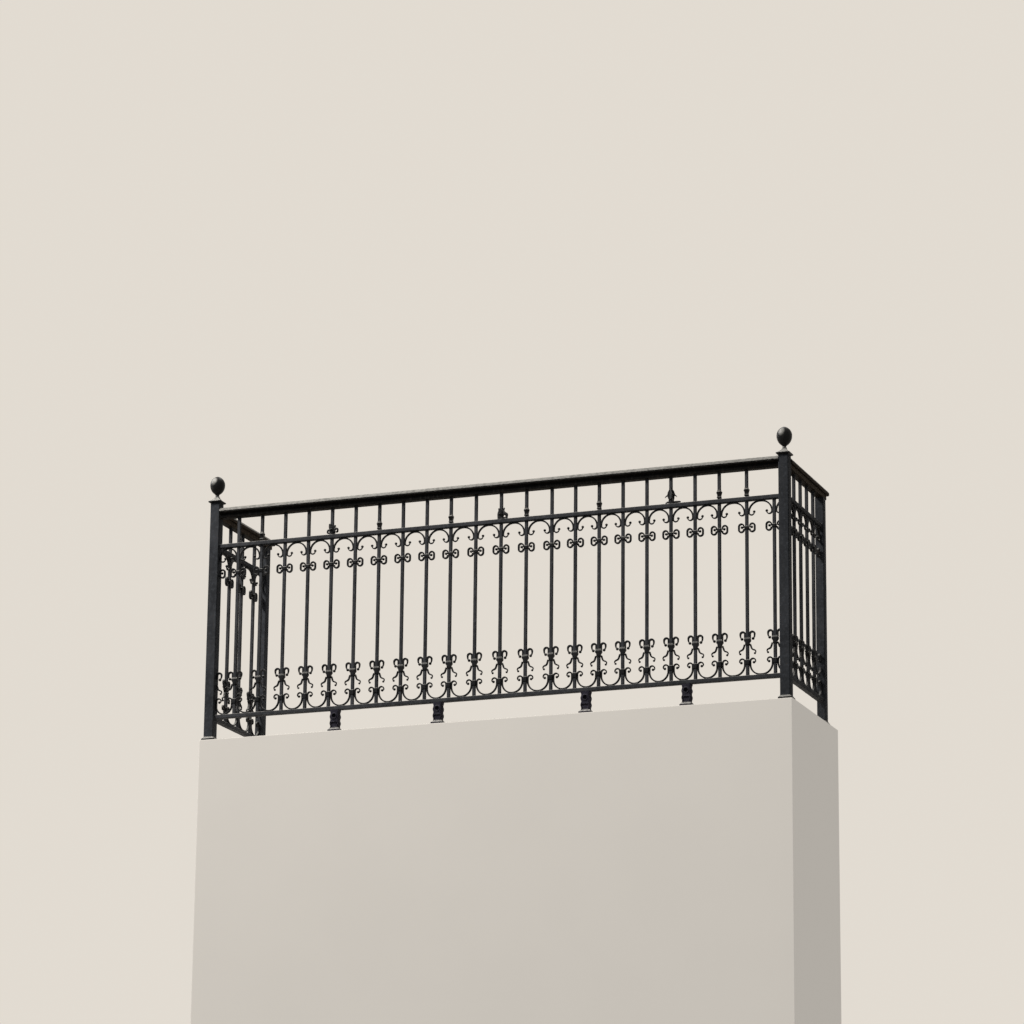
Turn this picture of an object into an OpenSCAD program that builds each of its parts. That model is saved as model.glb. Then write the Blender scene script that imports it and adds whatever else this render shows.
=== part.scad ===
// Iron balcony railing, U-shaped in plan: a long front run between two corner
// posts with finials, and two short returns that run back to the wall.
// Millimetres, Z up, X along the front, Y from the front towards the wall.

/* [Plan] */
// Bays in the first stretch of the front run, from the left
bays_1 = 10; // [4:1:12]
// Pitch of the balusters in the first stretch
pitch_1 = 111.2; // [104:0.1:122]
// Bays in the second stretch
bays_2 = 4; // [2:1:8]
// Pitch of the balusters in the second stretch
pitch_2 = 115.6; // [104:0.1:122]
// Bays in the third stretch
bays_3 = 7; // [3:1:9]
// Pitch of the balusters in the third stretch
pitch_3 = 106.8; // [104:0.1:122]
// Bays in the fourth stretch
bays_4 = 2; // [1:1:4]
// Pitch of the balusters in the fourth stretch
pitch_4 = 120; // [104:0.1:125]
// Last front baluster, to the axis of the right post
end_gap = 46.5; // [42:0.5:55]
// Depth of the returns, from front post axis to rear post axis
depth = 520; // [512:1:600]
// Balusters in the right return
right_count = 4; // [3:1:4]
// First baluster of the right return, from the front post axis
right_first = 129; // [100:1:138]
// Last baluster of the right return, to the rear post axis
right_last = 113; // [80:1:122]
// Balusters in the left return
left_count = 3; // [2:1:3]
// First baluster of the left return, from the front post axis
left_first = 150; // [110:1:190]
// Last baluster of the left return, to the rear post axis
left_last = 115; // [90:1:150]

/* [Levels] */
// Underside of the bottom rail above the floor
bottom_z = 95; // [85:1:130]
// Underside of the upper rail above the floor
upper_z = 860.5; // [800:0.5:890]
// Underside of the handrail above the floor
hand_z = 996; // [970:1:1100]
// Top of the left corner post above the handrail
left_rise = 24; // [1:1:120]
// Top of the right corner post above the handrail
right_rise = 2; // [1:1:120]

/* [Posts] */
// Side of the square corner posts
post_w = 44; // [36:1:60]
// Side of the square rear posts
rear_w = 38; // [28:1:50]
// Wall of the post tubes
tube_wall = 3; // [2:0.5:5]
// Reach of the base plates past the posts
shoe_lip = 7.5; // [4:0.5:16]
// Height of the base plates
shoe_h = 14; // [8:1:20]
// Reach of the cap plates past the corner posts
cap_lip = 8; // [5:1:14]
// Height of the cap plates
plate_h = 9; // [6:1:14]
// Height of the hollow-sided flare on the cap plates
flare_h = 23; // [14:1:32]

/* [Finials] */
// Greatest diameter of the egg
egg_d = 66; // [50:1:80]
// Height of the egg
egg_h = 84; // [60:1:100]
// Height of the round neck below the egg
neck_h = 8; // [5:1:16]
// Diameter of the neck
neck_d = 18; // [14:1:22]

/* [Rails] */
// Width of the handrail's moulded top
hand_w = 52; // [46:1:70]
// Height of the handrail's moulded top
hand_h = 27; // [20:1:40]
// Width of the flat bar under the moulded top
under_w = 34; // [30:1:44]
// Height of the flat bar under the moulded top
under_h = 20; // [12:1:30]
// Depth of the upper and bottom rails
rail_w = 24; // [20:1:36]
// Height of the upper rail
upper_h = 17.5; // [12:0.5:30]
// Height of the bottom rail
bottom_h = 17; // [12:0.5:30]
// Reach of the returns' handrails past the rear posts
wall_reach = 33; // [20:1:60]

/* [Bars and scrolls] */
// Side of the square balusters
bar = 13; // [10:0.5:16]
// Thickness of the scroll straps
strap = 5; // [3.5:0.5:6]
// Depth of the scroll straps, front to back
strap_d = 10; // [8:0.5:14]
// Greatest corner radius of the arches under the upper rail
arch_r = 49.5; // [42:0.5:54]
// Greatest corner radius of the cups on the bottom rail
cup_r = 47; // [40:0.5:52]
// Diameter of the balls that end the scrolls
eye_d = 10; // [7:0.5:10]
// Side of the collars on the balusters
collar_w = 18; // [16:0.5:20]
// Height of the upper collars
ring_h = 15; // [10:1:20]
// Height of the lower collars
band_h = 22; // [14:1:26]
// Width of the wedge collars at the top
wedge_w = 28; // [26:0.5:31]
// Width of the wedge collars at their foot
wedge_foot = 17; // [14.5:0.5:18]
// Height of the wedge collars
wedge_h = 33; // [28:1:38]
// Upper collar's centre below the upper rail
ring_drop = 115; // [106:1:130]
// Lower collar's centre above the bottom rail
band_rise = 57; // [52:1:62]
// Wedge collar's top above the bottom rail
wedge_rise = 162; // [160:1:190]

/* [Castings] */
// Height of the leaf ornaments
leaf_h = 50; // [40:1:60]
// Height of the tall leaf ornament, the last one on the right
spear_h = 74; // [50:1:76]
// Greatest diameter of the knuckles
knuckle_d = 27; // [23:0.5:32]
// Height of the knuckles
knuckle_h = 36; // [30:1:44]

/* [Feet] */
// Width of the cast feet
foot_w = 41; // [30:1:50]
// Depth of the cast feet
foot_d = 31; // [20:1:40]
// Width of the feet's flange
foot_flange_w = 55; // [46:1:70]
// Depth of the feet's flange
foot_flange_d = 45; // [36:1:60]
// Height of the feet's flange
foot_flange_h = 9; // [5:1:14]

/* [Hidden] */
$fn = 48;

// Clearance between pieces that are fitted but not one body of metal
fit = 0.1;
// Clearance round a baluster in a punched rail or a collar
punch = 0.2;
// Overshoot of a cut past a face
cut = 1;
// Balusters that carry a cast knuckle, counted from the left
knuckle_at = [2, 7, 10, 13, 16, 21, 22];
// Balusters that carry a leaf ornament, counted from the left
leaf_at = [5, 12, 19];
// Feet under the front bottom rail, from the axis of the left corner post
foot_at = [590, 1066, 1733, 2178];

// Sizes that follow from the ones above
function stretch(from, pitch, n) = [for (k = [1 : n]) from + k * pitch];
end_1 = bays_1 * pitch_1;
end_2 = end_1 + bays_2 * pitch_2;
end_3 = end_2 + bays_3 * pitch_3;
end_4 = end_3 + bays_4 * pitch_4;
front_bars = concat(stretch(0, pitch_1, bays_1), stretch(end_1, pitch_2, bays_2),
    stretch(end_2, pitch_3, bays_3), stretch(end_3, pitch_4, bays_4));
front_len = end_4 + end_gap;
x_left = -front_len / 2;
x_right = front_len / 2;
y_front = -(depth + rear_w / 2 + wall_reach - egg_d / 2) / 2;
y_rear = y_front + depth;
y_wall = y_rear + rear_w / 2 + wall_reach;
bottom_top = bottom_z + bottom_h;
upper_top = upper_z + upper_h;
hand_top = hand_z + under_h + hand_h;
left_post_top = hand_top + left_rise;
right_post_top = hand_top + right_rise;
cap_w = post_w + 2 * cap_lip;
cap_h = plate_h + flare_h;
ring_z = upper_z - ring_drop;
band_z = bottom_top + band_rise;
wedge_top = bottom_top + wedge_rise;

// Carriers of a run: distance from its first post axis, and half width
function front_line() = concat([[0, post_w / 2]],
    [for (x = front_bars) [x, bar / 2]],
    [[front_len, post_w / 2]]);
function side_line(first, last, count) = let (pitch = (depth - first - last) / (count - 1))
    concat([[0, post_w / 2]],
        [for (i = [0 : count - 1]) [first + i * pitch, bar / 2]],
        [[depth, rear_w / 2]]);
front_run = front_line();
left_run = side_line(left_first, left_last, left_count);
right_run = side_line(right_first, right_last, right_count);

// A carrier that is a baluster
function is_bar(c) = c[1] <= bar / 2;

// A path of tangent arcs. Each step is [radius, sweep, divisions]; a radius
// of 0 is a straight, with its length in place of the sweep
function turn(p, h, r, a) = a > 0
    ? [p[0] - r * sin(h) + r * sin(h + a), p[1] + r * cos(h) - r * cos(h + a)]
    : [p[0] + r * sin(h) - r * sin(h + a), p[1] - r * cos(h) + r * cos(h + a)];
function ahead(p, h, d) = [p[0] + d * cos(h), p[1] + d * sin(h)];
function trace(p, h, steps, i = 0) = i >= len(steps) ? [] :
    let (s = steps[i])
    s[0] == 0 && s[1] < 0.05 ? trace(p, h, steps, i + 1) :
    s[0] == 0
        ? let (q = ahead(p, h, s[1])) concat([[q[0], q[1], h]], trace(q, h, steps, i + 1))
        : let (q = turn(p, h, s[0], s[1]))
            concat([for (k = [1 : s[2]]) let (a = s[1] * k / s[2], m = turn(p, h, s[0], a))
                [m[0], m[1], h + a]], trace(q, h + s[1], steps, i + 1));
function path(p, h, steps) = concat([[p[0], p[1], h]], trace(p, h, steps));

// One side of the strap along a path, the ball at its end, and its outline
function beside(pts, s) = [for (q = pts)
    [q[0] - s * strap / 2 * sin(q[2]), q[1] + s * strap / 2 * cos(q[2])]];
function ball(q) = let (a = asin(strap / eye_d))
    [for (k = [0 : 6]) let (t = q[2] + 180 - a - k * (360 - 2 * a) / 6)
        [q[0] + eye_d / 2 * cos(t), q[1] + eye_d / 2 * sin(t)]];
function backwards(v) = [for (k = [len(v) - 1 : -1 : 0]) v[k]];

// The strap stops where the ball covers it, so the outline can't fold over
function bare(pts) = let (e = pts[len(pts) - 1])
    [for (q = pts) if (norm([q[0] - e[0], q[1] - e[1]]) > eye_d / 2 + 1) q];
function round_end(pts) = let (b = bare(pts))
    concat(beside(b, 1), ball(pts[len(pts) - 1]), backwards(beside(b, -1)));
function plain_end(pts) = concat(beside(pts, 1), backwards(beside(pts, -1)));
module forged() {
    rotate([90, 0, 0])
        linear_extrude(height = strap_d, center = true)
            children();
}

// Half of an arch, from the middle of its crown to the ball: a quarter turn,
// a leg and the steps of its volute. A narrower bay has a smaller turn and a
// longer leg, so that all volutes stay level
arch_leg = 0.5;
arch_volute = [[11.5, -190, 6]];
cup_leg = 14;
cup_volute = [[11.2, -180, 6], [5.5, -110, 3]];
function half_arch(clear, r_most, leg, volute) = let (r = min(clear / 2, r_most) - fit)
    path([0, -strap / 2 - fit], 0, concat([
        [0, clear / 2 - fit - r, 1],
        [r - strap / 2, -90, 5],
        [0, leg + r_most - fit - r, 1]], volute));
module arch(clear, r_most, leg, volute) {
    half = round_end(half_arch(clear, r_most, leg, volute));
    other = [for (k = [len(half) - 2 : -1 : 1]) [-half[k][0], half[k][1]]];
    forged()
        polygon(concat(half, other));
}

// Loop: out and down from the collar, round the outside, over the top and
// into a ball; x is measured from the face that holds it
loop_r = 11.5;
loop_rise = 14.5;
loop_curl = 5.5;
function loop_path() = path([strap / 2 + fit, -5], -85, [
    [0, 3, 1],
    [loop_r, 175, 6],
    [0, loop_rise, 1],
    [loop_r, 180, 6],
    [loop_curl, 130, 4]]);

// Horn: up from the top of the wedge collar, beside the bar, over and down
// the outside to a ball; x is measured from the bar's face
horn_rise = 13.5;
horn_r = 10.9;
horn_flank = 26;
function horn_path() = path([strap / 2 + 2 * fit, fit], 90, [
    [0, horn_rise, 1],
    [horn_r, -180, 6],
    [0, 5, 1],
    [horn_flank, -40, 3]]);

// Leg: from the foot of the wedge collar in an S, flared out over a knee
leg_slope = -72;
leg_flare = 13;
leg_knee = 9;
function leg_path() = path([strap / 2 + fit, 0], leg_slope, [
    [0, 16, 1],
    [leg_flare, 52, 4],
    [0, 6, 1],
    [leg_knee, -52, 3],
    [0, 11, 1]]);
module loop_scroll() { forged() polygon(round_end(loop_path())); }
module horn_scroll() { forged() polygon(round_end(horn_path())); }
module leg_scroll() { forged() polygon(plain_end(leg_path())); }

// Placing along a run
module front_place() { translate([x_left, y_front, 0]) children(); }
module left_place() { translate([x_left, y_front, 0]) rotate([0, 0, 90]) children(); }
module right_place() { translate([x_right, y_front, 0]) rotate([0, 0, 90]) children(); }

// A gap next to a post that is too narrow for the whole scroll work: the
// last baluster's scrolls are cut back to the post there
least_gap = 40;
function is_cut(a, b) = b[0] - b[1] - a[0] - a[1] < least_gap;
module cut_back(a, b) {
    intersection() {
        children();
        translate([a[0] + a[1], -strap_d, 0])
            cube([b[0] - b[1] - a[0] - a[1], 2 * strap_d, hand_z]);
    }
}

// Arches between the carriers of a run, hung from a level or stood on it;
// reach is what the collars take from a bay on each side
module arches(run, reach, r_most, leg, volute) {
    for (i = [0 : len(run) - 2]) {
        a = run[i];
        b = run[i + 1];
        from = a[0] + a[1] + (is_bar(a) ? reach : 0);
        to = b[0] - b[1] - (is_bar(b) ? reach : 0);
        if (is_cut(a, b)) {
            whole = pitch_4 - bar - 2 * reach;
            cut_back(a, b)
                translate([from + whole / 2, 0, 0])
                    arch(whole, r_most, leg, [volute[0]]);
        } else {
            translate([(from + to) / 2, 0, 0])
                arch(to - from, r_most, leg, volute);
        }
    }
}
module upper_arches(run) {
    translate([0, 0, upper_z])
        arches(run, 0, arch_r, arch_leg, arch_volute);
}
module cups(run) {
    translate([0, 0, bottom_top])
        mirror([0, 0, 1])
            arches(run, (collar_w - bar) / 2, cup_r, cup_leg, cup_volute);
}

// One scroll on each side of every carrier that it has room on
module both_sides(run, z, offset) {
    for (i = [0 : len(run) - 1]) {
        c = run[i];
        reach = is_bar(c) ? offset : 0;
        if (i < len(run) - 1) {
            if (is_cut(c, run[i + 1])) {
                cut_back(c, run[i + 1])
                    translate([c[0] + c[1] + reach, 0, z])
                        children();
            } else {
                translate([c[0] + c[1] + reach, 0, z])
                    children();
            }
        }
        if (i > 0 && !is_cut(run[max(i - 1, 0)], c)) {
            translate([c[0] - c[1] - reach, 0, z])
                mirror([1, 0, 0])
                    children();
        }
    }
}
module loops(run) { both_sides(run, ring_z, (collar_w - bar) / 2) loop_scroll(); }
module horns(run) { both_sides(run, wedge_top, 0) horn_scroll(); }
module legs(run) { both_sides(run, wedge_top - wedge_h + 4, (wedge_foot - bar) / 2) leg_scroll(); }

// Square bars up to the handrail; one in a cut gap stops at the upper rail
module bars(run) {
    for (i = [1 : len(run) - 2]) {
        high = is_cut(run[i], run[i + 1]) ? upper_top : hand_z;
        translate([run[i][0] - bar / 2, -bar / 2, bottom_z])
            cube([bar, bar, high - bottom_z]);
    }
}

// A collar forged round the bar, with its top at the origin; a wedge flares
// just below its middle and is straight under and over the flare
module collar(h, w_low, w_top) {
    difference() {
        rotate([90, 0, 0])
            linear_extrude(height = collar_w, center = true)
                polygon([[-w_low / 2, -h], [w_low / 2, -h], [w_low / 2, -0.64 * h], [w_top / 2, -0.45 * h],
                    [w_top / 2, 0], [-w_top / 2, 0], [-w_top / 2, -0.45 * h], [-w_low / 2, -0.64 * h]]);
        translate([-bar / 2 - punch, -bar / 2 - punch, -h - cut])
            cube([bar + 2 * punch, bar + 2 * punch, h + 2 * cut]);
    }
}
module collars(run) {
    for (c = run) {
        if (is_bar(c)) {
            translate([c[0], 0, ring_z + ring_h / 2])
                collar(ring_h, collar_w, collar_w);
            translate([c[0], 0, band_z + band_h / 2])
                collar(band_h, collar_w, collar_w);
            translate([c[0], 0, wedge_top])
                collar(wedge_h, wedge_foot, wedge_w);
        }
    }
}

// A flat rail punched for the balusters of its run
module rail(run, z, h) {
    first = run[0];
    last = run[len(run) - 1];
    difference() {
        translate([first[1] + fit, -rail_w / 2, z])
            cube([last[0] - last[1] - first[1] - 2 * fit, rail_w, h]);
        for (c = run) {
            if (is_bar(c)) {
                translate([c[0] - bar / 2 - punch, -bar / 2 - punch, z - cut])
                    cube([bar + 2 * punch, bar + 2 * punch, h + 2 * cut]);
            }
        }
    }
}

// Handrail section: a round-shouldered moulding with a quirk along each
// side, over a flat bar
shoulder = 9;
quirk = 2.5;
module hand_section() {
    half = hand_w / 2;
    arc = [for (a = [0 : 15 : 90])
        [half - shoulder + shoulder * cos(a), under_h + hand_h - shoulder + shoulder * sin(a)]];
    edge = concat([[under_w / 2, 0], [under_w / 2, under_h], [half - quirk, under_h],
        [half - quirk, under_h + 3], [half, under_h + 5], [half, under_h + 10],
        [half - quirk, under_h + 11.5], [half - quirk, under_h + 14], [half, under_h + 15]], arc);
    polygon(concat(edge, [for (q = backwards(edge)) [-q[0], q[1]]]));
}
// Inside corners are mitred against the next run; inner is 1 or -1, for the
// side that the balcony's floor is on
module mitre(inner) {
    translate([fit / 2, 0, hand_z - cut])
        linear_extrude(height = under_h + hand_h + 2 * cut)
            polygon([[0, 0], [post_w, inner * post_w], [0, inner * post_w]]);
}
module handrail(length, inner) {
    difference() {
        translate([post_w / 2 + fit, 0, hand_z])
            rotate([90, 0, 90])
                linear_extrude(height = length - post_w / 2 - fit)
                    hand_section();
        mitre(inner);
        translate([length - 15, -hand_w, hand_z - cut])
            cube([15 + cut, 2 * hand_w, under_h + cut]);
    }
}
module handrail_between(length) {
    difference() {
        translate([post_w / 2 + fit, 0, hand_z])
            rotate([90, 0, 90])
                linear_extrude(height = length - post_w - 2 * fit)
                    hand_section();
        mitre(1);
        translate([length, 0, 0])
            mirror([1, 0, 0])
                mitre(1);
    }
}

// Square tube post with its axis at the origin
module tube(w, low, high) {
    difference() {
        translate([-w / 2, -w / 2, low])
            cube([w, w, high - low]);
        translate([-w / 2 + tube_wall, -w / 2 + tube_wall, low - cut])
            cube([w - 2 * tube_wall, w - 2 * tube_wall, high - low + 2 * cut]);
    }
}

// A solid with the same outline seen from the front and from the side
module crossed(w) {
    intersection() {
        rotate([90, 0, 0])
            linear_extrude(height = w, center = true)
                children();
        rotate([90, 0, 90])
            linear_extrude(height = w, center = true)
                children();
    }
}

// Base plate with sloping shoulders, for a post of side w
module shoe(w) {
    half = w / 2 + shoe_lip;
    crossed(2 * half)
        polygon([[-half, 0], [half, 0], [half, 0.4 * shoe_h],
            [w / 2 + 2, shoe_h], [-w / 2 - 2, shoe_h], [-half, 0.4 * shoe_h]]);
}

// Post cap: a thin plate, hollowed beneath its edge, and a hollow-sided
// flare that rises to the finial's neck
module cap() {
    half = cap_w / 2;
    top = neck_d / 2 + 0.5;
    flare = [for (k = [0 : 6]) let (u = k / 6)
        [top + (half - 2 - top) * pow(1 - u, 2), plate_h + u * flare_h]];
    edge = concat([[post_w / 2 + 1, 0], [half - 2, 0.25 * plate_h], [half, 0.5 * plate_h],
        [half, plate_h - 1]], flare);
    crossed(cap_w)
        polygon(concat(edge, [for (q = backwards(edge)) [-q[0], q[1]]]));
}

// Round neck, and an egg that is fullest at its middle, narrower below and
// slightly pointed on top
module finial() {
    low = 0.53 * egg_h;
    high = egg_h - low - 2;
    below = [for (t = [-70 : 10 : -10]) [egg_d / 2 * pow(cos(t), 1.12), neck_h + low + low * sin(t)]];
    above = [for (t = [0 : 10 : 80]) [egg_d / 2 * cos(t), neck_h + low + high * sin(t)]];
    neck = [[0, 0], [neck_d / 2, 0], [neck_d / 2 - 1.5, 0.4 * neck_h], [neck_d / 2 - 1, 0.8 * neck_h]];
    rotate_extrude()
        polygon(concat(neck, below, above, [[2.5, neck_h + egg_h - 2.2], [0, neck_h + egg_h]]));
}

// Cast knuckle round a baluster: a bulb between two beads
module knuckle() {
    bead = bar * 0.9;
    bulb = [for (t = [0 : 15 : 180])
        [bead - 1 + (knuckle_d / 2 - bead + 1) * sin(t), knuckle_h * (0.5 - 0.34 * cos(t))]];
    difference() {
        rotate_extrude()
            polygon(concat([[0, 0], [bead, 0], [bead, knuckle_h * 0.12]], bulb,
                [[bead, knuckle_h * 0.88], [bead, knuckle_h], [0, knuckle_h]]));
        translate([-bar / 2 - punch, -bar / 2 - punch, -cut])
            cube([bar + 2 * punch, bar + 2 * punch, knuckle_h + 2 * cut]);
    }
}

// Leaf ornament: four leaves round a square collar. Each is a curved blade
// that springs from the collar, swells and turns its tip back to the bar
leaf_wide = 26;
module leaf(high) {
    outer = [for (k = [0 : 9]) let (u = k / 9)
        [9 + (leaf_wide - 9) * sin(180 * pow(u, 0.62)) * (1 - 0.25 * u), 3 + (high - 3) * u]];
    inner = [for (k = [1 : 6]) let (u = k / 7)
        [7.5 + 8.5 * sin(180 * pow(u, 0.7)), 9 + (high - 14) * u]];
    forged()
        polygon(concat([[7, 0]], outer, backwards(inner), [[7, 9]]));
}
module leaf_ornament(high) {
    difference() {
        union() {
            translate([-10, -10, 0])
                cube([20, 20, 12]);
            for (turn_z = [0, 90, 180, 270]) {
                rotate([0, 0, turn_z])
                    leaf(high);
            }
        }
        translate([-bar / 2 - punch, -bar / 2 - punch, -cut])
            cube([bar + 2 * punch, bar + 2 * punch, high + 2 * cut]);
    }
}

// Cast foot: scalloped sides, a round boss with a deep eye above, and a sunk
// panel below
boss_z = 68;
boss_d = 28;
boss_eye = 17;
panel_w = 30;
panel_h = 22;
panel_z = 19;
module foot() {
    top = bottom_z - fit;
    wave = [for (k = [0 : 16]) let (u = k / 16, z = foot_flange_h + u * (top - foot_flange_h))
        [foot_w / 2 - 1.6 + 1.6 * cos(1080 * u), z]];
    difference() {
        union() {
            rotate([90, 0, 0])
                linear_extrude(height = foot_d, center = true)
                    polygon(concat(wave, [for (q = backwards(wave)) [-q[0], q[1]]]));
            translate([-foot_flange_w / 2, -foot_flange_d / 2, 0])
                cube([foot_flange_w, foot_flange_d, foot_flange_h]);
            translate([0, -foot_d / 2 + 1, boss_z])
                rotate([90, 0, 0])
                    cylinder(d = boss_d, h = 3);
        }
        translate([0, 8 - foot_d / 2, boss_z])
            rotate([90, 0, 0])
                cylinder(d = boss_eye, h = 20);
        translate([-panel_w / 2, -foot_d / 2 - cut, panel_z])
            cube([panel_w, 4 + cut, panel_h]);
    }
}

module front_left_post() {
    color("dimgray") translate([x_left, y_front, 0]) tube(post_w, shoe_h, left_post_top);
}
module front_right_post() {
    color("dimgray") translate([x_right, y_front, 0]) tube(post_w, shoe_h, right_post_top);
}
module rear_left_post() {
    color("slategray") translate([x_left, y_rear, 0]) tube(rear_w, shoe_h, hand_z);
}
module rear_right_post() {
    color("slategray") translate([x_right, y_rear, 0]) tube(rear_w, shoe_h, hand_z);
}
module front_left_base() {
    color("gray") translate([x_left, y_front, 0]) shoe(post_w);
}
module front_right_base() {
    color("gray") translate([x_right, y_front, 0]) shoe(post_w);
}
module rear_left_base() {
    color("gray") translate([x_left, y_rear, 0]) shoe(rear_w);
}
module rear_right_base() {
    color("gray") translate([x_right, y_rear, 0]) shoe(rear_w);
}
module left_post_cap() {
    color("darkgray") translate([x_left, y_front, left_post_top]) cap();
}
module right_post_cap() {
    color("darkgray") translate([x_right, y_front, right_post_top]) cap();
}
module left_finial() {
    color("black") translate([x_left, y_front, left_post_top + cap_h]) finial();
}
module right_finial() {
    color("black") translate([x_right, y_front, right_post_top + cap_h]) finial();
}
module front_handrail() {
    color("steelblue") front_place() handrail_between(front_len);
}
module left_handrail() {
    color("steelblue") left_place() handrail(y_wall - y_front, -1);
}
module right_handrail() {
    color("steelblue") right_place() handrail(y_wall - y_front, 1);
}
module front_upper_rail() { color("teal") front_place() rail(front_run, upper_z, upper_h); }
module left_upper_rail() { color("teal") left_place() rail(left_run, upper_z, upper_h); }
module right_upper_rail() { color("teal") right_place() rail(right_run, upper_z, upper_h); }
module front_bottom_rail() { color("teal") front_place() rail(front_run, bottom_z, bottom_h); }
module left_bottom_rail() { color("teal") left_place() rail(left_run, bottom_z, bottom_h); }
module right_bottom_rail() { color("teal") right_place() rail(right_run, bottom_z, bottom_h); }
module front_balusters() { color("silver") front_place() bars(front_run); }
module left_balusters() { color("silver") left_place() bars(left_run); }
module right_balusters() { color("silver") right_place() bars(right_run); }
module front_arch_scrolls() { color("orange") front_place() upper_arches(front_run); }
module left_arch_scrolls() { color("orange") left_place() upper_arches(left_run); }
module right_arch_scrolls() { color("orange") right_place() upper_arches(right_run); }
module front_loop_scrolls() { color("gold") front_place() loops(front_run); }
module left_loop_scrolls() { color("gold") left_place() loops(left_run); }
module right_loop_scrolls() { color("gold") right_place() loops(right_run); }
module front_horn_scrolls() {
    color("tomato") front_place() {
        horns(front_run);
        legs(front_run);
    }
}
module left_horn_scrolls() {
    color("tomato") left_place() {
        horns(left_run);
        legs(left_run);
    }
}
module right_horn_scrolls() {
    color("tomato") right_place() {
        horns(right_run);
        legs(right_run);
    }
}
module front_cup_scrolls() { color("orange") front_place() cups(front_run); }
module left_cup_scrolls() { color("orange") left_place() cups(left_run); }
module right_cup_scrolls() { color("orange") right_place() cups(right_run); }
module front_collars() { color("purple") front_place() collars(front_run); }
module left_collars() { color("purple") left_place() collars(left_run); }
module right_collars() { color("purple") right_place() collars(right_run); }
module baluster_knuckles() {
    color("brown") front_place() {
        for (i = knuckle_at) {
            if (i <= len(front_bars)) {
                translate([front_bars[i - 1], 0, upper_top + 6])
                    knuckle();
            }
        }
    }
}
module leaf_ornaments() {
    color("green") front_place() {
        for (i = leaf_at) {
            if (i <= len(front_bars)) {
                translate([front_bars[i - 1], 0, upper_top])
                    leaf_ornament(i == leaf_at[2] ? spear_h : leaf_h);
            }
        }
    }
}
module rail_feet() {
    color("gray") front_place() {
        for (x = foot_at) {
            if (x < front_len - 80) {
                translate([x, 0, 0])
                    foot();
            }
        }
    }
}

front_left_post();
front_right_post();
rear_left_post();
rear_right_post();
front_left_base();
front_right_base();
rear_left_base();
rear_right_base();
left_post_cap();
right_post_cap();
left_finial();
right_finial();
front_handrail();
left_handrail();
right_handrail();
front_upper_rail();
left_upper_rail();
right_upper_rail();
front_bottom_rail();
left_bottom_rail();
right_bottom_rail();
front_balusters();
left_balusters();
right_balusters();
front_arch_scrolls();
left_arch_scrolls();
right_arch_scrolls();
front_loop_scrolls();
left_loop_scrolls();
right_loop_scrolls();
front_horn_scrolls();
left_horn_scrolls();
right_horn_scrolls();
front_cup_scrolls();
left_cup_scrolls();
right_cup_scrolls();
front_collars();
left_collars();
right_collars();
baluster_knuckles();
leaf_ornaments();
rail_feet();
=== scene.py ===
"""Forged, cast and painted detail over the packed solids of an iron balcony railing."""

import math
from collections import namedtuple

import bmesh
import bpy
from bpy.props import FloatProperty, FloatVectorProperty, PointerProperty
from mathutils import Matrix, Vector, noise


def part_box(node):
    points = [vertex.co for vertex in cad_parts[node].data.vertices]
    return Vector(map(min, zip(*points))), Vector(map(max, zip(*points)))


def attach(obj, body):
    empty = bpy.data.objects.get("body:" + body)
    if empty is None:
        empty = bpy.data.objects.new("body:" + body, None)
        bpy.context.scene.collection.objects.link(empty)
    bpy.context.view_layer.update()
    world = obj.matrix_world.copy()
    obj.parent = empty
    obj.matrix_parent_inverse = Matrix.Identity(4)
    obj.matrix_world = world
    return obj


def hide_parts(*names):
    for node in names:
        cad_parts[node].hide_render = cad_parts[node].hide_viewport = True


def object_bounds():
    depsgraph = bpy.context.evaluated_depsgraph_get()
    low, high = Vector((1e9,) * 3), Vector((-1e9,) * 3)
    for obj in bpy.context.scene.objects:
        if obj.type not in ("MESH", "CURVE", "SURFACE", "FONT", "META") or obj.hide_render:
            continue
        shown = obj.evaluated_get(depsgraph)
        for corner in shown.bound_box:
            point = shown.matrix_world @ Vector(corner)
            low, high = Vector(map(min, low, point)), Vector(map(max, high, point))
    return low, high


bl_info = {
    "name": "Iron Balcony Railing",
    "version": (1, 0, 0),
    "blender": (4, 5, 0),
    "location": "View3D > Sidebar > Railing",
    "description": "Dresses the solids of a balcony railing in forged, cast and painted iron",
    "category": "Object",
}

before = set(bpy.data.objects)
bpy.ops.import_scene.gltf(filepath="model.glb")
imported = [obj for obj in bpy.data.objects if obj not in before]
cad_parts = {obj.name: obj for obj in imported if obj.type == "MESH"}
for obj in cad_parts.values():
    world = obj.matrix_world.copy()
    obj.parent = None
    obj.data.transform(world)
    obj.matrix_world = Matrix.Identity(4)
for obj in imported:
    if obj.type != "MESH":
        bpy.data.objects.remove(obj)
CAD_BOX = [list(corner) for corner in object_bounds()]

CORNERS = ("front_left", "front_right", "rear_left", "rear_right")

# Shapes are drawn in millimetres, and this brings them to the frame's metres
METRES = Matrix.Scale(0.001, 4)
# Gap that keeps a piece out of its neighbour's face
FIT = 0.1
# Wall thickness of the square tube posts
POST_WALL = 3
# A cap's plate and the half width of its neck, and a finial's neck: height and radius
CAP_PLATE, CAP_NECK = 9, 9.5
NECK_HIGH, NECK = 8, 9
# Half the width of the handrail's moulded top, and the flat bar under it: half width and height
MOULD_HALF = 26
UNDER_HALF, UNDER_HIGH = 17, 20
# Height over the handrail's underside from which its shoulders are painted pale: dust, and a
# painted highlight along its top
SHOULDER_HIGHLIGHT_FROM = 30.6
# A scroll in a gap narrower than this is cut off at the post
LEAST_GAP = 40
# The loops are this much thicker than the arches, cups and legs, and the horns more so
LOOP_STOUT = 1.15
HORN_STOUT = 1.15 * LOOP_STOUT
# Longest straight and largest turn in degrees between two stations along a strap
STRAIGHT_STEP, TURN_STEP = 9, 16
# Balls' widths over which a strap is drawn out toward its ball
DRAWN_OUT = 2.8
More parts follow.
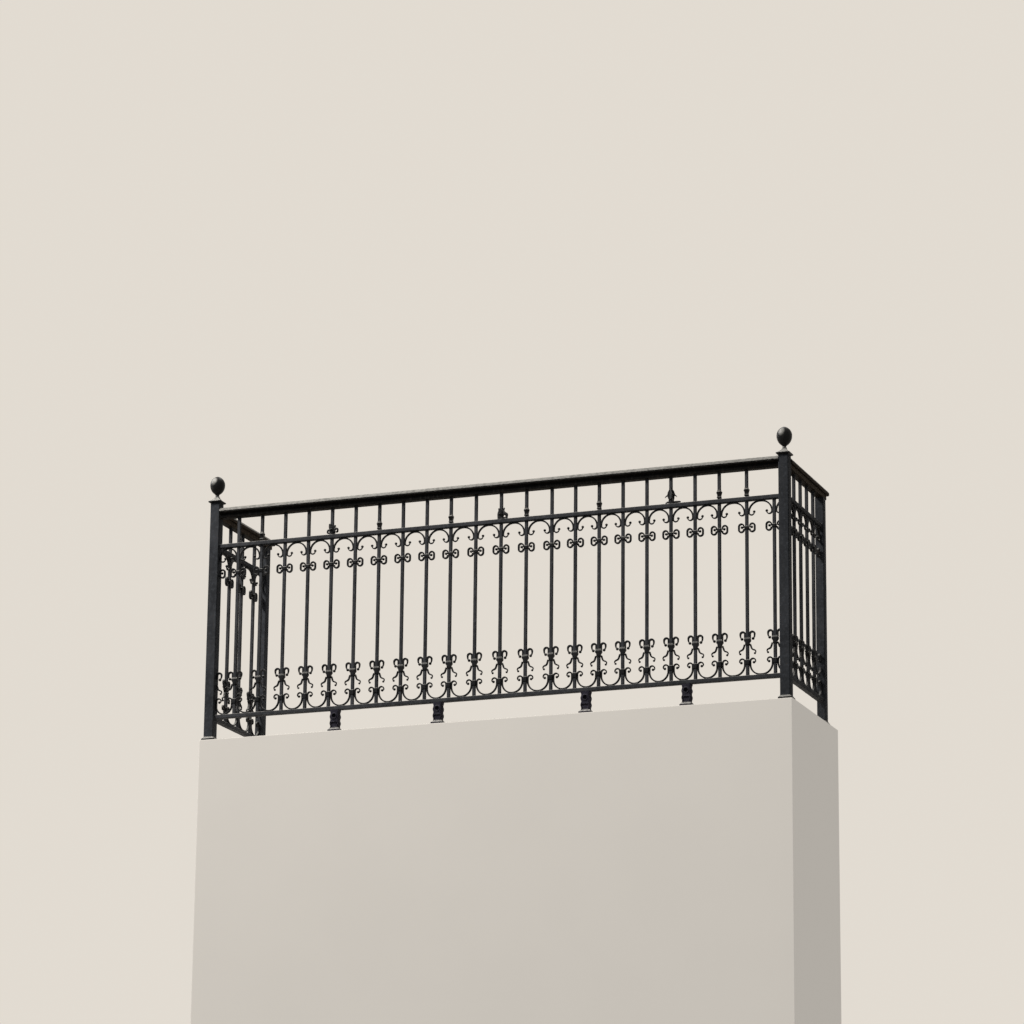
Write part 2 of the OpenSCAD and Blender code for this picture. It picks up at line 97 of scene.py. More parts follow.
# Spacing of the rings along posts and rails, along bars and along a weld
LONG_STEP, BAR_STEP, WELD_STEP = 40, 22, 1.9
# Section of a weld fillet: outwards and upwards, in shares of its size
WELD_SECTION = ((-0.3, -0.3), (1, -0.3), (0.72, 0.3), (0.3, 0.72), (-0.3, 1))


# ---------------------------------------------------------------- measures

def mm(metres):
    """Millimetres, which all shapes are drawn in."""
    return metres * 1000


def span(node, axis):
    """Lowest and highest value of a node along an axis, in millimetres."""
    low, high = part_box(node)
    return mm(low[axis]), mm(high[axis])


def half_span(node, axis=0):
    """Half a node's size along an axis, in millimetres."""
    low, high = span(node, axis)
    return (high - low) / 2


def middle(node):
    """A node's axis in plan, on the floor, in metres."""
    low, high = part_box(node)
    return Vector(((low.x + high.x) / 2, (low.y + high.y) / 2, 0))


def standing(node):
    """Place of a piece that is drawn round its node's own axis."""
    return Matrix.Translation(middle(node)) @ METRES


def solids_of(node, axis=0):
    """Lowest and highest corner of each solid of a node, sorted along an axis."""
    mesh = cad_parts[node].data
    first = {}
    same = [first.setdefault(tuple(round(c, 5) for c in v.co), v.index) for v in mesh.vertices]
    root = list(range(len(same)))

    def find(i):
        while root[i] != i:
            root[i] = root[root[i]]
            i = root[i]
        return i

    for polygon in mesh.polygons:
        corners = [find(same[v]) for v in polygon.vertices]
        for corner in corners[1:]:
            root[find(corner)] = find(corners[0])
    groups = {}
    for v in mesh.vertices:
        groups.setdefault(find(same[v.index]), []).append(v.co)
    boxes = [(Vector(map(min, *points)), Vector(map(max, *points))) for points in groups.values()]
    return sorted(boxes, key=lambda box: box[0][axis])


def first_size(node, axis):
    """Size of a node's first solid along an axis, in millimetres."""
    low, high = solids_of(node)[0]
    return mm(high[axis] - low[axis])


# A post or bar that carries scrolls: place along the run, half width, and whether it is a bar
Carrier = namedtuple("Carrier", "at half is_bar")


class Run:
    """One straight run, drawn along X in millimetres from the axis of its first post."""

    def __init__(self, name, first_post, last_post, turn):
        start = middle(first_post)
        self.name = name
        turned = Matrix.Rotation(math.radians(turn), 4, "Z")
        self.place = Matrix.Translation(start) @ turned @ METRES
        self.length = mm((middle(last_post) - start).length)
        self.bars = []
        for low, high in solids_of(name + "_balusters", 1 if turn else 0):
            centre = (low + high) / 2
            away = mm((Vector((centre.x, centre.y, 0)) - start).length)
            self.bars.append((away, mm(low.z), mm(high.z)))
        first, last = half_span(first_post), half_span(last_post)
        self.start, self.stop = first + FIT, self.length - last - FIT
        self.carriers = ([Carrier(0, first, False)]
                         + [Carrier(away, BAR / 2, True) for away, _, _ in self.bars]
                         + [Carrier(self.length, last, False)])


BAR = first_size("front_balusters", 0)
COLLAR = first_size("front_collars", 1)
COLLARS = sorted((mm(low.z), mm(high.z)) for low, high in solids_of("front_collars")[:3])
BOTTOM = span("front_bottom_rail", 2)
UPPER = span("front_upper_rail", 2)
HAND = span("front_handrail", 2)
runs = {
    "front": Run("front", "front_left_post", "front_right_post", 0),
    "left": Run("left", "front_left_post", "rear_left_post", 90),
    "right": Run("right", "front_right_post", "rear_right_post", 90),
}


# ------------------------------------------------------------ sizes and looks

class RailingBars(bpy.types.PropertyGroup):
    """Sizes of the posts, rails and balusters."""
    corner: FloatProperty(
        name="Bar corner", description="Rounding along the edges of the square balusters",
        default=0.0012, min=0.0003, max=0.004, unit="LENGTH")
    post_corner: FloatProperty(
        name="Post corner", description="Outside radius of the square tube posts",
        default=0.0035, min=0.001, max=0.008, unit="LENGTH")
    rail_corner: FloatProperty(
        name="Rail corner", description="Rounding along the edges of the flat rails",
        default=0.002, min=0.0005, max=0.005, unit="LENGTH")
    swell: FloatProperty(
        name="Swell", description="How far a rail swells where it is punched for a baluster",
        default=0.0008, min=0, max=0.002, unit="LENGTH")
    weld: FloatProperty(
        name="Weld", description="Size of the weld fillets where bars meet",
        default=0.0022, min=0.0005, max=0.004, unit="LENGTH")
    hammer: FloatProperty(
        name="Hammer marks", description="Unevenness of forged surfaces",
        default=0.00022, min=0, max=0.001, unit="LENGTH")


class RailingScrolls(bpy.types.PropertyGroup):
    """Sizes of the scroll work."""
    strap: FloatProperty(
        name="Strap thickness", description="Thickness of the scroll straps",
        default=0.0062, min=0.0035, max=0.008, unit="LENGTH")
    depth: FloatProperty(
        name="Strap depth", description="Depth of the scroll straps, front to back",
        default=0.010, min=0.008, max=0.014, unit="LENGTH")
    ball: FloatProperty(
        name="Ball", description="Diameter of the balls that end the scrolls",
        default=0.0116, min=0.008, max=0.012, unit="LENGTH")
    drawn: FloatProperty(
        name="Drawn end",
        description="Share of the strap's size that is left where it is drawn out at a ball",
        default=0.6, min=0.4, max=1, subtype="FACTOR")


class RailingPaint(bpy.types.PropertyGroup):
    """Colours and wear of the paint, and the painted light and shade in it."""
    iron: FloatVectorProperty(
        name="Paint", description="Black satin paint of the posts",
        default=(0.037, 0.039, 0.043), subtype="COLOR")
    bars: FloatVectorProperty(
        name="Bar paint", description="Paler, more weathered_and_lit paint of the rails and balusters",
        default=(0.045, 0.046, 0.049), subtype="COLOR")
    scroll: FloatVectorProperty(
        name="Scroll paint", description="Black satin paint of the scroll work",
        default=(0.014, 0.0145, 0.0155), subtype="COLOR")
    # The handrail's brown on its faces toward +X is painted warm bounce light
    handrail: FloatVectorProperty(
        name="Handrail paint", description="Black paint of the handrail, browner with age",
        default=(0.004, 0.0038, 0.0036), subtype="COLOR")
    casting: FloatVectorProperty(
        name="Casting paint", description="Black paint of the castings",
        default=(0.0052, 0.0055, 0.0062), subtype="COLOR")
    feet: FloatVectorProperty(
        name="Feet paint", description="Blue-black paint of the cast feet",
        default=(0.030, 0.028, 0.037), subtype="COLOR")
    # Pale dust on up-facing slopes, where it is also a painted highlight; the eggs' painted
    # highlight takes this colour too
    dust_and_highlight: FloatVectorProperty(
        name="Dust", description="Stone dust and chalked paint on slopes that face up",
        default=(0.50, 0.48, 0.44), subtype="COLOR")
    rust: FloatVectorProperty(
        name="Rust", description="Rust that shows in specks and at joints",
        default=(0.085, 0.040, 0.020), subtype="COLOR")
    # Brown of the grime and painted shade on the undersides, and, stronger, of the painted warm
    # bounce on the faces toward +X
    soot_shade_and_bounce: FloatVectorProperty(
        name="Soot", description="Brown grime on the undersides and on faded faces",
        default=(0.040, 0.030, 0.021), subtype="COLOR")
    roughness: FloatProperty(
        name="Roughness", description="Roughness of the satin paint",
        default=0.60, min=0.1, max=0.9, subtype="FACTOR")
    shine: FloatProperty(
        name="Shine", description="Specular level of the satin paint",
        default=0.025, min=0, max=1, subtype="FACTOR")


class RailingStage(bpy.types.PropertyGroup):
    """The floor, the backdrop and the lamps."""
    floor: FloatVectorProperty(
        name="Floor", description="Colour of the floor block",
        default=(0.74, 0.69, 0.62), subtype="COLOR")
    backdrop: FloatVectorProperty(
        name="Backdrop", description="Colour behind the railing",
        default=(0.76, 0.71, 0.64), subtype="COLOR")
    margin: FloatProperty(
        name="Margin", description="How far the floor reaches past the base plates",
        default=0.006, min=0.004, max=1, unit="LENGTH")
    key: FloatProperty(
        name="Key lamp", description="Power of the main lamp at the upper left",
        default=1050, min=0, max=3000, unit="POWER")
    side: FloatProperty(
        name="Side lamp", description="Power of the wide lamp at the left",
        default=240, min=0, max=2000, unit="POWER")
    fill: FloatProperty(
        name="Fill lamp", description="Power of the lamp at the right",
        default=12, min=0, max=2000, unit="POWER")
    overhead: FloatProperty(
        name="Overhead lamp", description="Power of the wide lamp over the railing",
        default=90, min=0, max=2000, unit="POWER")


GROUPS = {"railing_bars": RailingBars, "railing_scrolls": RailingScrolls,
          "railing_paint": RailingPaint, "railing_stage": RailingStage}


# ------------------------------------------------------------------- shapes

class Shell:
    """The points and faces of a piece while it is drawn, in millimetres."""

    def __init__(self):
        self.points, self.faces = [], []

    def ring(self, points):
        """Adds points and tells their numbers."""
        start = len(self.points)
        self.points.extend(tuple(p) for p in points)
        return range(start, len(self.points))

    def bridge(self, a, b, skip=()):
        """Faces between two rings; a ring of one point is a pole."""
        count = max(len(a), len(b))
        for i in range(count):
            if i in skip:
                continue
            j = (i + 1) % count
            corners = (a[i % len(a)], a[j % len(a)], b[j % len(b)], b[i % len(b)])
            self.faces.append(tuple(dict.fromkeys(corners)))

    def skin(self, rings, loop=False):
        """A closed skin through rings of points, capped unless it is a loop."""
        made = [self.ring(r) for r in rings]
        for a, b in zip(made, made[1:]):
            self.bridge(a, b)
        if loop:
            self.bridge(made[-1], made[0])
        else:
            for end in (made[0], made[-1]):
                if len(end) > 2:
                    self.faces.append(tuple(end))

    def squares(self, profile, at=(0, 0), loop=False, steps=3):
        """Rings of rounded rectangles: half width, half depth where it differs, height, corner."""
        self.skin([[(at[0] + x, at[1] + y, z) for x, y in rounded(half[0], half[-1], corner, steps)]
                   for *half, z, corner in profile], loop)

    def turned(self, profile, segments=64):
        """A turned shape: radius and height."""
        rings = []
        for radius, z in profile:
            count = segments if radius > 0 else 1
            rings.append([(radius * math.cos(math.tau * k / count),
                           radius * math.sin(math.tau * k / count), z) for k in range(count)])
        self.skin(rings)

    def ball(self, centre, radii, segments=14, rings=8):
        """A ball with its poles front and back."""
        x, y, z = centre
        rows = [[(x, y - radii[1], z)]]
        for k in range(1, rings):
            a = math.pi * k / rings
            rows.append([(x + radii[0] * math.sin(a) * math.cos(math.tau * i / segments),
                          y - radii[1] * math.cos(a),
                          z + radii[2] * math.sin(a) * math.sin(math.tau * i / segments))
                         for i in range(segments)])
        rows.append([(x, y + radii[1], z)])
        self.skin(rows)

    def moved(self, x, z, mirror=False, flip=False):
        """A copy in another place, mirrored left to right or turned upside down if wanted."""
        side, up = -1 if mirror else 1, -1 if flip else 1
        copy = Shell()
        copy.points = [(x + side * p[0], p[1], z + up * p[2]) for p in self.points]
        copy.faces = list(self.faces)
        return copy

    def add(self, other):
        """Takes in the points and faces of another shell."""
        start = len(self.points)
        self.points.extend(other.points)
        self.faces.extend(tuple(start + i for i in face) for face in other.faces)

    def cut_off(self, x):
        """A copy that ends at a plane across the run."""
        mesh = bmesh.new()
        verts = [mesh.verts.new(p) for p in self.points]
        for face in self.faces:
            mesh.faces.new([verts[i] for i in face])
        bmesh.ops.bisect_plane(mesh, geom=mesh.verts[:] + mesh.edges[:] + mesh.faces[:], dist=1e-5,
                               plane_co=(x, 0, 0), plane_no=(1, 0, 0), clear_outer=True)
        bmesh.ops.holes_fill(mesh, edges=[e for e in mesh.edges if e.is_boundary])
        mesh.verts.index_update()
        copy = Shell()
        copy.points = [tuple(v.co) for v in mesh.verts]
        copy.faces = [tuple(v.index for v in f.verts) for f in mesh.faces]
        mesh.free()
        return copy


def rounded(half_x, half_y, radius, steps=3):
    """Outline of a rectangle with rounded corners, in order."""
    points = []
    for side_x, side_y, start in ((1, 1, 0), (-1, 1, 90), (-1, -1, 180), (1, -1, 270)):
        for k in range(steps + 1):
            a = math.radians(start + 90 * k / steps)
            points.append((side_x * (half_x - radius) + radius * math.cos(a),
                           side_y * (half_y - radius) + radius * math.sin(a)))
    return points


def arcs(start, heading, steps, pitch=2.4):
    """Points and headings along tangent arcs (radius, sweep) and straights (0, length)."""
    x, z = start
    h = math.radians(heading)
    path = [(x, z, h)]
    for radius, amount in steps:
        if radius == 0:
            if amount < 0.05:
                continue
            count = max(1, round(amount / STRAIGHT_STEP))
            for k in range(1, count + 1):
                d = amount * k / count
                path.append((x + d * math.cos(h), z + d * math.sin(h), h))
        else:
            sweep = math.radians(amount)
            side = math.copysign(radius, sweep)
            cx, cz = x - side * math.sin(h), z + side * math.cos(h)
            count = max(3, math.ceil(abs(sweep) * radius / pitch),
                        math.ceil(abs(amount) / TURN_STEP))
            for k in range(1, count + 1):
                a = h + sweep * k / count
                path.append((cx + side * math.sin(a), cz - side * math.cos(a), a))
        x, z, h = path[-1]
    return path


def strap(shell, path, sizes, both_ends=False, stout=1.0, knob=1.0):
    """A forged strap along a path, drawn out into a ball at its last end or at both."""
    thick, deep, ball = stout * mm(sizes.strap), mm(sizes.depth), knob * mm(sizes.ball)
    away = [0]
    for a, b in zip(path, path[1:]):
        away.append(away[-1] + math.dist(a[:2], b[:2]))
    rings = []
    for (x, z, h), d in zip(path, away):
        near = min(d, away[-1] - d) if both_ends else away[-1] - d
        ease = min(1, near / (DRAWN_OUT * ball))
        share = sizes.drawn + (1 - sizes.drawn) * ease * ease * (3 - 2 * ease)
        half = share * thick / 2
        rings.append([(x - across * math.sin(h), y, z + across * math.cos(h))
                      for across, y in rounded(half, share * deep / 2, min(1.3, 0.6 * half), 2)])
    shell.skin(rings)
    for x, z, _ in (path[0], path[-1]) if both_ends else path[-1:]:
        shell.ball((x, 0, z), (ball / 2, 0.54 * ball, ball / 2))


def bar(shell, x, low, high, half, corner):
    """A square bar that stands on a height."""
    count = max(2, round((high - low) / BAR_STEP))
    ease = 0.5 * corner
    between_ends = [low + (high - low) * k / count for k in range(1, count)]
    heights = [low, low + ease] + between_ends + [high - ease, high]
    inset = [ease] + [0] * (len(heights) - 2) + [ease]
    shell.squares([(half - i, z, corner) for z, i in zip(heights, inset)], (x, 0), steps=2)


def weld(shell, outline, z, size, up=1, seed=0.0):
    """A rippled weld fillet round an outline, on top of a face or, with up -1, below it."""
    points = []
    for a, b in zip(outline, outline[1:] + outline[:1]):
        count = max(1, round(math.dist(a, b) / WELD_STEP))
        points.extend((a[0] + (b[0] - a[0]) * k / count, a[1] + (b[1] - a[1]) * k / count)
                      for k in range(count))
    total = len(points)
    cx = sum(p[0] for p in points) / total
    cy = sum(p[1] for p in points) / total
    rings = []
    for k, (x, y) in enumerate(points):
        ahead, behind = points[(k + 1) % total], points[k - 1]
        out = Vector((ahead[1] - behind[1], behind[0] - ahead[0])).normalized()
        if out.dot(Vector((x - cx, y - cy))) < 0:
            out = -out
        wander = noise.noise(Vector((x * 0.3, y * 0.3, z + seed)))
        ripple = size * (0.78 + 0.22 * math.cos(1.9 * k) + 0.25 * wander)
        rings.append([(x + out.x * s * ripple, y + out.y * s * ripple, z + up * t * ripple)
                      for s, t in WELD_SECTION])
    shell.skin(rings, loop=True)


def end_weld(shell, x, side, half, heights, size):
    """A weld fillet where a rail's end meets a post; side is the way that the rail runs."""
    centre, tall = (heights[0] + heights[1]) / 2, (heights[1] - heights[0]) / 2
    upright = Shell()
    weld(upright, rounded(half, tall, 2, 2), 0, size, seed=x)
    upright.points = [(x + side * p[2], p[0], centre + p[1]) for p in upright.points]
    shell.add(upright)


def solid_object(name, shell, place, crease, paint, work=None):
    """Makes an object from a shell; work bends its surface before its sharp edges are found."""
    mesh = bpy.data.meshes.new(name)
    mesh.from_pydata(shell.points, [], shell.faces)
    mesh.transform(place)
    shape = bmesh.new()
    shape.from_mesh(mesh)
    bmesh.ops.recalc_face_normals(shape, faces=shape.faces)
    if work:
        work(shape)
    limit = math.radians(crease)
    for face in shape.faces:
        face.smooth = True
    for edge in shape.edges:
        edge.smooth = len(edge.link_faces) == 2 and edge.calc_face_angle(0) < limit
    shape.to_mesh(mesh)
    shape.free()
    made = bpy.data.objects.new(name, mesh)
    bpy.context.scene.collection.objects.link(made)
    made.modifiers.new("Even shading", "WEIGHTED_NORMAL").keep_sharp = True
    mesh.materials.append(paint)
    return made


def piece(name, shell, slot, nodes, place, uneven, grain, crease=48, finish=None):
    """Makes the object that stands for some nodes: uneven surface, sharp edges, paint and body."""
    def forge(shape):
        shape.normal_update()
        for v in shape.verts:
            forged = v.co + v.normal * (uneven * noise.noise(v.co * (1000 / grain)))
            v.co = [min(max(c, low), high) for c, low, high in zip(forged, *CAD_BOX)]

    paint = bpy.data.materials["weathered_" + (finish or slot)]
    made = solid_object(name, shell, place, crease, paint, forge)
    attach(made, "root")
    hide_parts(*nodes)


# ---------------------------------------------------------------- finishes

# Waves per metre of the noises in the paint and in its relief
PATCHES, MOTTLE, SPECKS, ORANGE_PEEL, DENTS = 7.0, 75.0, 210.0, 900.0, 48.0
STREAKS = (90, 90, 4)
# Radius over which the worn and highlighted edges are found, in metres
EDGE = 0.0016
# Pale colour of the worn edges, which is also a painted edge highlight
EDGE_WEAR_AND_HIGHLIGHT = (0.16, 0.15, 0.14)
# The normal of a round surface where it gets a painted highlight, on its side toward the key lamp
HIGHLIGHT_NORMAL = (-0.17, -0.91, 0.38)


def wire(tree, kind, sockets=None, **settings):
    """A shader node; a socket takes a value or another node's output."""
    made = tree.nodes.new("ShaderNode" + kind)
    for key, value in settings.items():
        setattr(made, key, value)
    for key, value in (sockets or {}).items():
        if isinstance(value, bpy.types.NodeSocket):
            tree.links.new(value, made.inputs[key])
        else:
            made.inputs[key].default_value = value
    return made


def cleared(owner):
    """The emptied node tree of a new material or world."""
    owner.use_nodes = True
    owner.node_tree.nodes.clear()
    return owner.node_tree


def grain_of(tree, where, scale, detail=3.0, rough=0.5):
    """A noise between 0 and 1 over the surface."""
    return wire(tree, "TexNoise", {"Vector": where, "Scale": scale, "Detail": detail,
                                   "Roughness": rough}).outputs["Fac"]


def between(tree, value, low, high, to_low=0.0, to_high=1.0):
    """A smooth step between two values."""
    return wire(tree, "MapRange", {"Value": value, "From Min": low, "From Max": high,
                                   "To Min": to_low, "To Max": to_high},
                interpolation_type="SMOOTHSTEP").outputs["Result"]


def times(tree, a, b):
    """A product of two values."""
    return wire(tree, "Math", {0: a, 1: b}, operation="MULTIPLY").outputs[0]


def plus(tree, a, b):
    """A sum of two values, at most 1."""
    return wire(tree, "Math", {0: a, 1: b}, operation="ADD", use_clamp=True).outputs[0]


def along(tree, vector, axis):
    """One axis of a vector."""
    return wire(tree, "SeparateXYZ", {0: vector}).outputs[axis]


def facing_to(tree, a, b):
    """How far two directions agree."""
    return wire(tree, "VectorMath", {0: a, 1: b}, operation="DOT_PRODUCT").outputs["Value"]


def mixed(tree, share, a, b):
    """A blend of two colours."""
    return wire(tree, "Mix", {0: share, 6: a, 7: b}, data_type="RGBA").outputs[2]


def colour(value, share=1.0):
    """A colour for a socket, darkened or lightened."""
    return tuple(share * c for c in value[:3]) + (1.0,)


def seen_rays(tree):
    """1 for rays that see the backdrop, directly or in a reflection, and 0 for the others."""
    rays = wire(tree, "LightPath").outputs
    return plus(tree, rays["Is Camera Ray"],
                plus(tree, rays["Is Glossy Ray"], rays["Is Transmission Ray"]))


def painted_iron(name, tint, look, rough_by=0.0, shine_by=1.0, dust_and_highlight_share=0.5, steep=0.12, grime_and_shade=0.15,
                 tooth=0.35, ledge=0.0, highlight_from=0.0, painted_bounce=0.0, painted_highlight=0.0):
    """Satin paint over iron: patches, mottling, dust, worn edges, rust specks, grime and painted
    light.

    Dust lies on slopes from steep upwards, below the ledge and above the highlight height where
    those are given, and there it is also a painted highlight. Worn edges are lightened as wear and
    as a painted edge highlight, and the underside grime is partly painted shade. The tooth is the
    depth of the relief, the bounce share paints warm bounce light on the faces toward +X, and the
    highlight share paints a pale highlight on the side toward the key lamp.
    """
    tree = cleared(bpy.data.materials.new(name))
    where = wire(tree, "TexCoord").outputs["Object"]
    facing = wire(tree, "NewGeometry").outputs["Normal"]
    patches = grain_of(tree, where, PATCHES, 4.0, 0.6)
    mottle = grain_of(tree, where, MOTTLE, 4.0, 0.62)
    specks = grain_of(tree, where, SPECKS, 3.0, 0.6)
    orange = grain_of(tree, where, ORANGE_PEEL, 2.0, 0.5)
    drawn = wire(tree, "Mapping", {"Vector": where, "Scale": STREAKS}).outputs[0]
    streaks = grain_of(tree, drawn, 1.0, 3.0)

    body = mixed(tree, between(tree, patches, 0.35, 0.68), colour(tint, 0.82), colour(tint, 1.35))
    body = mixed(tree, between(tree, mottle, 0.45, 0.75, 0, 0.55), body, colour(tint, 2.3))
    body = mixed(tree, between(tree, streaks, 0.5, 0.8, 0, 0.30), body, colour(look.dust_and_highlight, 0.12))

    # Lightened edges: worn paint, and a painted highlight along the edges
    soft = wire(tree, "Bevel", {"Radius": EDGE}, samples=4).outputs[0]
    edges = between(tree, facing_to(tree, soft, facing), 0.985, 0.80)
    worn_and_highlit_edge = times(tree, edges, between(tree, mottle, 0.40, 0.62))
    body = mixed(tree, times(tree, worn_and_highlit_edge, 0.55), body, colour(EDGE_WEAR_AND_HIGHLIGHT))

    rusted = times(tree, between(tree, specks, 0.60, 0.72), between(tree, patches, 0.42, 0.62))
    body = mixed(tree, times(tree, rusted, 0.65), body, colour(look.rust))

    # Dust on up-facing slopes, which also stands in for a painted highlight where the slopes face
    # the key lamp; it thins on flat tops
    upward = along(tree, facing, "Z")
    slope = times(tree, between(tree, upward, steep, 0.2 + 2.6 * steep),
                  between(tree, upward, 0.90, 0.99, 1.0, 0.45))
    dust_and_highlight_mask = times(tree, slope, between(tree, mottle, 0.30, 0.62, 0.55 * dust_and_highlight_share, dust_and_highlight_share))
    height = along(tree, where, "Z")
    # Held below the ledge on the feet's flange, and above the given height as a painted highlight
    # line along the handrail's shoulders
    if ledge:
        dust_and_highlight_mask = times(tree, dust_and_highlight_mask, between(tree, height, ledge, ledge + 0.003, 1.0, 0.06))
    if highlight_from:
        dust_and_highlight_mask = times(tree, dust_and_highlight_mask, between(tree, height, highlight_from - 0.001, highlight_from, 0.05, 1.0))
    # Painted warm bounce light: the faces toward +X turn brown, in streaks
    if painted_bounce:
        painted_bounce_mask = times(tree, between(tree, along(tree, facing, "X"), 0.4, 0.9),
                      between(tree, streaks, 0.35, 0.65, 0.5, 1.0))
        body = mixed(tree, times(tree, painted_bounce_mask, painted_bounce), body, colour(look.soot_shade_and_bounce, 2.4))
    # A painted highlight: a pale patch on the side toward the key lamp
    if painted_highlight:
        highlit_side = between(tree, facing_to(tree, facing, HIGHLIGHT_NORMAL), 0.84, 0.995)
        body = mixed(tree, times(tree, highlit_side, painted_highlight), body, colour(look.dust_and_highlight))
    # Mixes in the pale dust and painted highlight on up-facing slopes
    body = mixed(tree, dust_and_highlight_mask, body, colour(look.dust_and_highlight))
    # Darker, browner undersides: grime and painted shade
    under = times(tree, between(tree, upward, -0.3, -0.9),
                  between(tree, mottle, 0.25, 0.70, 0.4, 1.0))
    body = mixed(tree, times(tree, under, grime_and_shade), body, colour(look.soot_shade_and_bounce))

    base = look.roughness + rough_by
    rough = between(tree, mottle, 0.3, 0.7, base - 0.06, base + 0.12)
    rough = plus(tree, rough, times(tree, plus(tree, dust_and_highlight_mask, rusted), 0.35))

    relief = plus(tree, times(tree, orange, 0.25), times(tree, specks, tooth))
    fine = wire(tree, "Bump", {"Strength": min(0.5, 1.6 * tooth), "Distance": 0.00035,
                               "Height": relief})
    coarse = wire(tree, "Bump", {"Strength": min(0.6, 1.8 * tooth),
                                 "Distance": 0.0008 + 0.0004 * tooth,
                                 "Height": grain_of(tree, where, DENTS, 2.0),
                                 "Normal": fine.outputs[0]})
    surface = wire(tree, "BsdfPrincipled", {
        "Base Color": body, "Roughness": rough, "Normal": coarse.outputs[0],
        "Specular IOR Level": look.shine * shine_by, "IOR": 1.5})
    wire(tree, "OutputMaterial", {"Surface": surface.outputs[0]})


def plain_floor(tint, backdrop):
    """Pale matt floor with a faint tooth, half in the backdrop's tone so that it stays plain."""
    material = bpy.data.materials.new("pale_floor")
    tree = cleared(material)
    where = wire(tree, "TexCoord").outputs["Object"]
    clouds = grain_of(tree, where, 2.5, 3.0)
    body = mixed(tree, between(tree, clouds, 0.3, 0.7), colour(tint, 0.975), colour(tint, 1.02))
    tooth = wire(tree, "Bump", {"Strength": 0.15, "Distance": 0.0005,
                                "Height": grain_of(tree, where, 300.0, 3.0)})
    surface = wire(tree, "BsdfPrincipled", {"Base Color": body, "Roughness": 0.85,
                                            "Normal": tooth.outputs[0]})
    shown = wire(tree, "Emission", {"Color": colour(backdrop), "Strength": 1.0})
    blend = wire(tree, "MixShader", {0: times(tree, seen_rays(tree), 0.5), 1: surface.outputs[0],
                                     2: shown.outputs[0]})
    wire(tree, "OutputMaterial", {"Surface": blend.outputs[0]})
    return material


# --------------------------------------------------------------- operators

class RailingStep(bpy.types.Operator):
    """One step of dressing the railing."""
    bl_options = {"REGISTER", "UNDO"}

    def execute(self, context):
        scene = context.scene
        self.bars, self.scrolls = scene.railing_bars, scene.railing_scrolls
        self.look, self.stage = scene.railing_paint, scene.railing_stage
        self.make()
        return {"FINISHED"}

    def dress(self, name, shell, slot, node, place, hammered, grain, **shading):
        """Makes the piece that stands for a node, with a share of the hammer marks' depth."""
        piece(name, shell, slot, [node], place, hammered * self.bars.hammer, grain, **shading)


# Paint: the colour that it takes, and how it differs from plain satin paint
PAINTS = {
    "iron_paint": ("iron", {}),
    "bar_paint": ("bars", {}),
    "scroll_paint": ("scroll", dict(rough_by=-0.10, shine_by=2.0, dust_and_highlight_share=0.3)),
    "collar_paint": ("scroll", dict(rough_by=-0.12, shine_by=2.5, dust_and_highlight_share=0.65)),
    # The handrail carries a painted highlight on its top shoulders, painted shade underneath and
    # painted warm bounce light on faces toward +X
    "handrail_paint": ("handrail", dict(rough_by=-0.02, shine_by=0.8, dust_and_highlight_share=0.52, steep=0.02,
                                        grime_and_shade=0.45, highlight_from=(HAND[0] + SHOULDER_HIGHLIGHT_FROM) / 1000, painted_bounce=0.8)),
    "cast_iron_paint": ("casting", dict(rough_by=-0.16, shine_by=4.0, dust_and_highlight_share=0.62, tooth=1.0)),
    # On the feet the pale dust lies only on the flange, where it is also a painted highlight on its
    # top slope
    "foot_paint": ("feet", dict(rough_by=-0.06, shine_by=0.2, dust_and_highlight_share=0.68, tooth=0.6, ledge=0.0165)),
    "leaf_paint": ("scroll", dict(rough_by=-0.14, shine_by=4.0, dust_and_highlight_share=0.25, tooth=0.7)),
    # The eggs carry a painted highlight on their side toward the key lamp
    "egg_paint": ("casting", dict(rough_by=-0.19, shine_by=4.5, dust_and_highlight_share=0.03, tooth=0.02,
                                  painted_highlight=0.55)),
}


class RAILING_OT_paint(RailingStep):
    """Mixes the paints for iron, scrolls, handrails and castings"""
    bl_idname = "railing.paint"
    bl_label = "Paints"

    def make(self):
        for name, (tint, changes) in PAINTS.items():
            painted_iron("weathered_" + name, getattr(self.look, tint), self.look, **changes)


class RAILING_OT_posts(RailingStep):
    """Makes the square tube posts"""
    bl_idname = "railing.posts"
    bl_label = "Posts"

    def make(self):
        corner = mm(self.bars.post_corner)
        for side in CORNERS:
            node = side + "_post"
            half = half_span(node)
            low, high = span(node, 2)
            count = round((high - low) / LONG_STEP)
            heights = [low + (high - low) * k / count for k in range(count + 1)]
            outside = [(half, z, corner) for z in heights]
            inside = [(half - POST_WALL, z, 1.5) for z in reversed(heights)]
            shell = Shell()
            shell.squares(outside + inside, loop=True, steps=5)
            self.dress(node + "_tube", shell, "iron_paint", node, standing(node), 0.6, 60)


class RAILING_OT_bases(RailingStep):
    """Makes the base plates with sloping shoulders, welded round the posts"""
    bl_idname = "railing.bases"
    bl_label = "Base plates"

    def make(self):
        for side in CORNERS:
            node = side + "_base"
            post, half, top = half_span(side + "_post"), half_span(node), span(node, 2)[1]
            edge = 0.5 * top
            profile = [(half - 0.8, 0, 2.2), (half, 0.8, 3), (half, edge - 0.6, 3),
                       (half - 0.5, edge + 0.1, 3)]
            for k in range(1, 5):
                u = k / 5
                reach = half - 0.5 + (post + 2.2 - half) * (1.25 * u - 0.25 * u * u)
                profile.append((reach, edge + (edge - 0.4) * u, 3.2))
            profile += [(post + 2, top - 0.3, 3.4), (post + 1.4, top, 3.4)]
            shell = Shell()
            shell.squares(profile)
            seam = rounded(post, post, mm(self.bars.post_corner))
            weld(shell, seam, top, mm(self.bars.weld), seed=half)
            self.dress(node + "_plate", shell, "cast_iron_paint", node, standing(node), 1, 18)


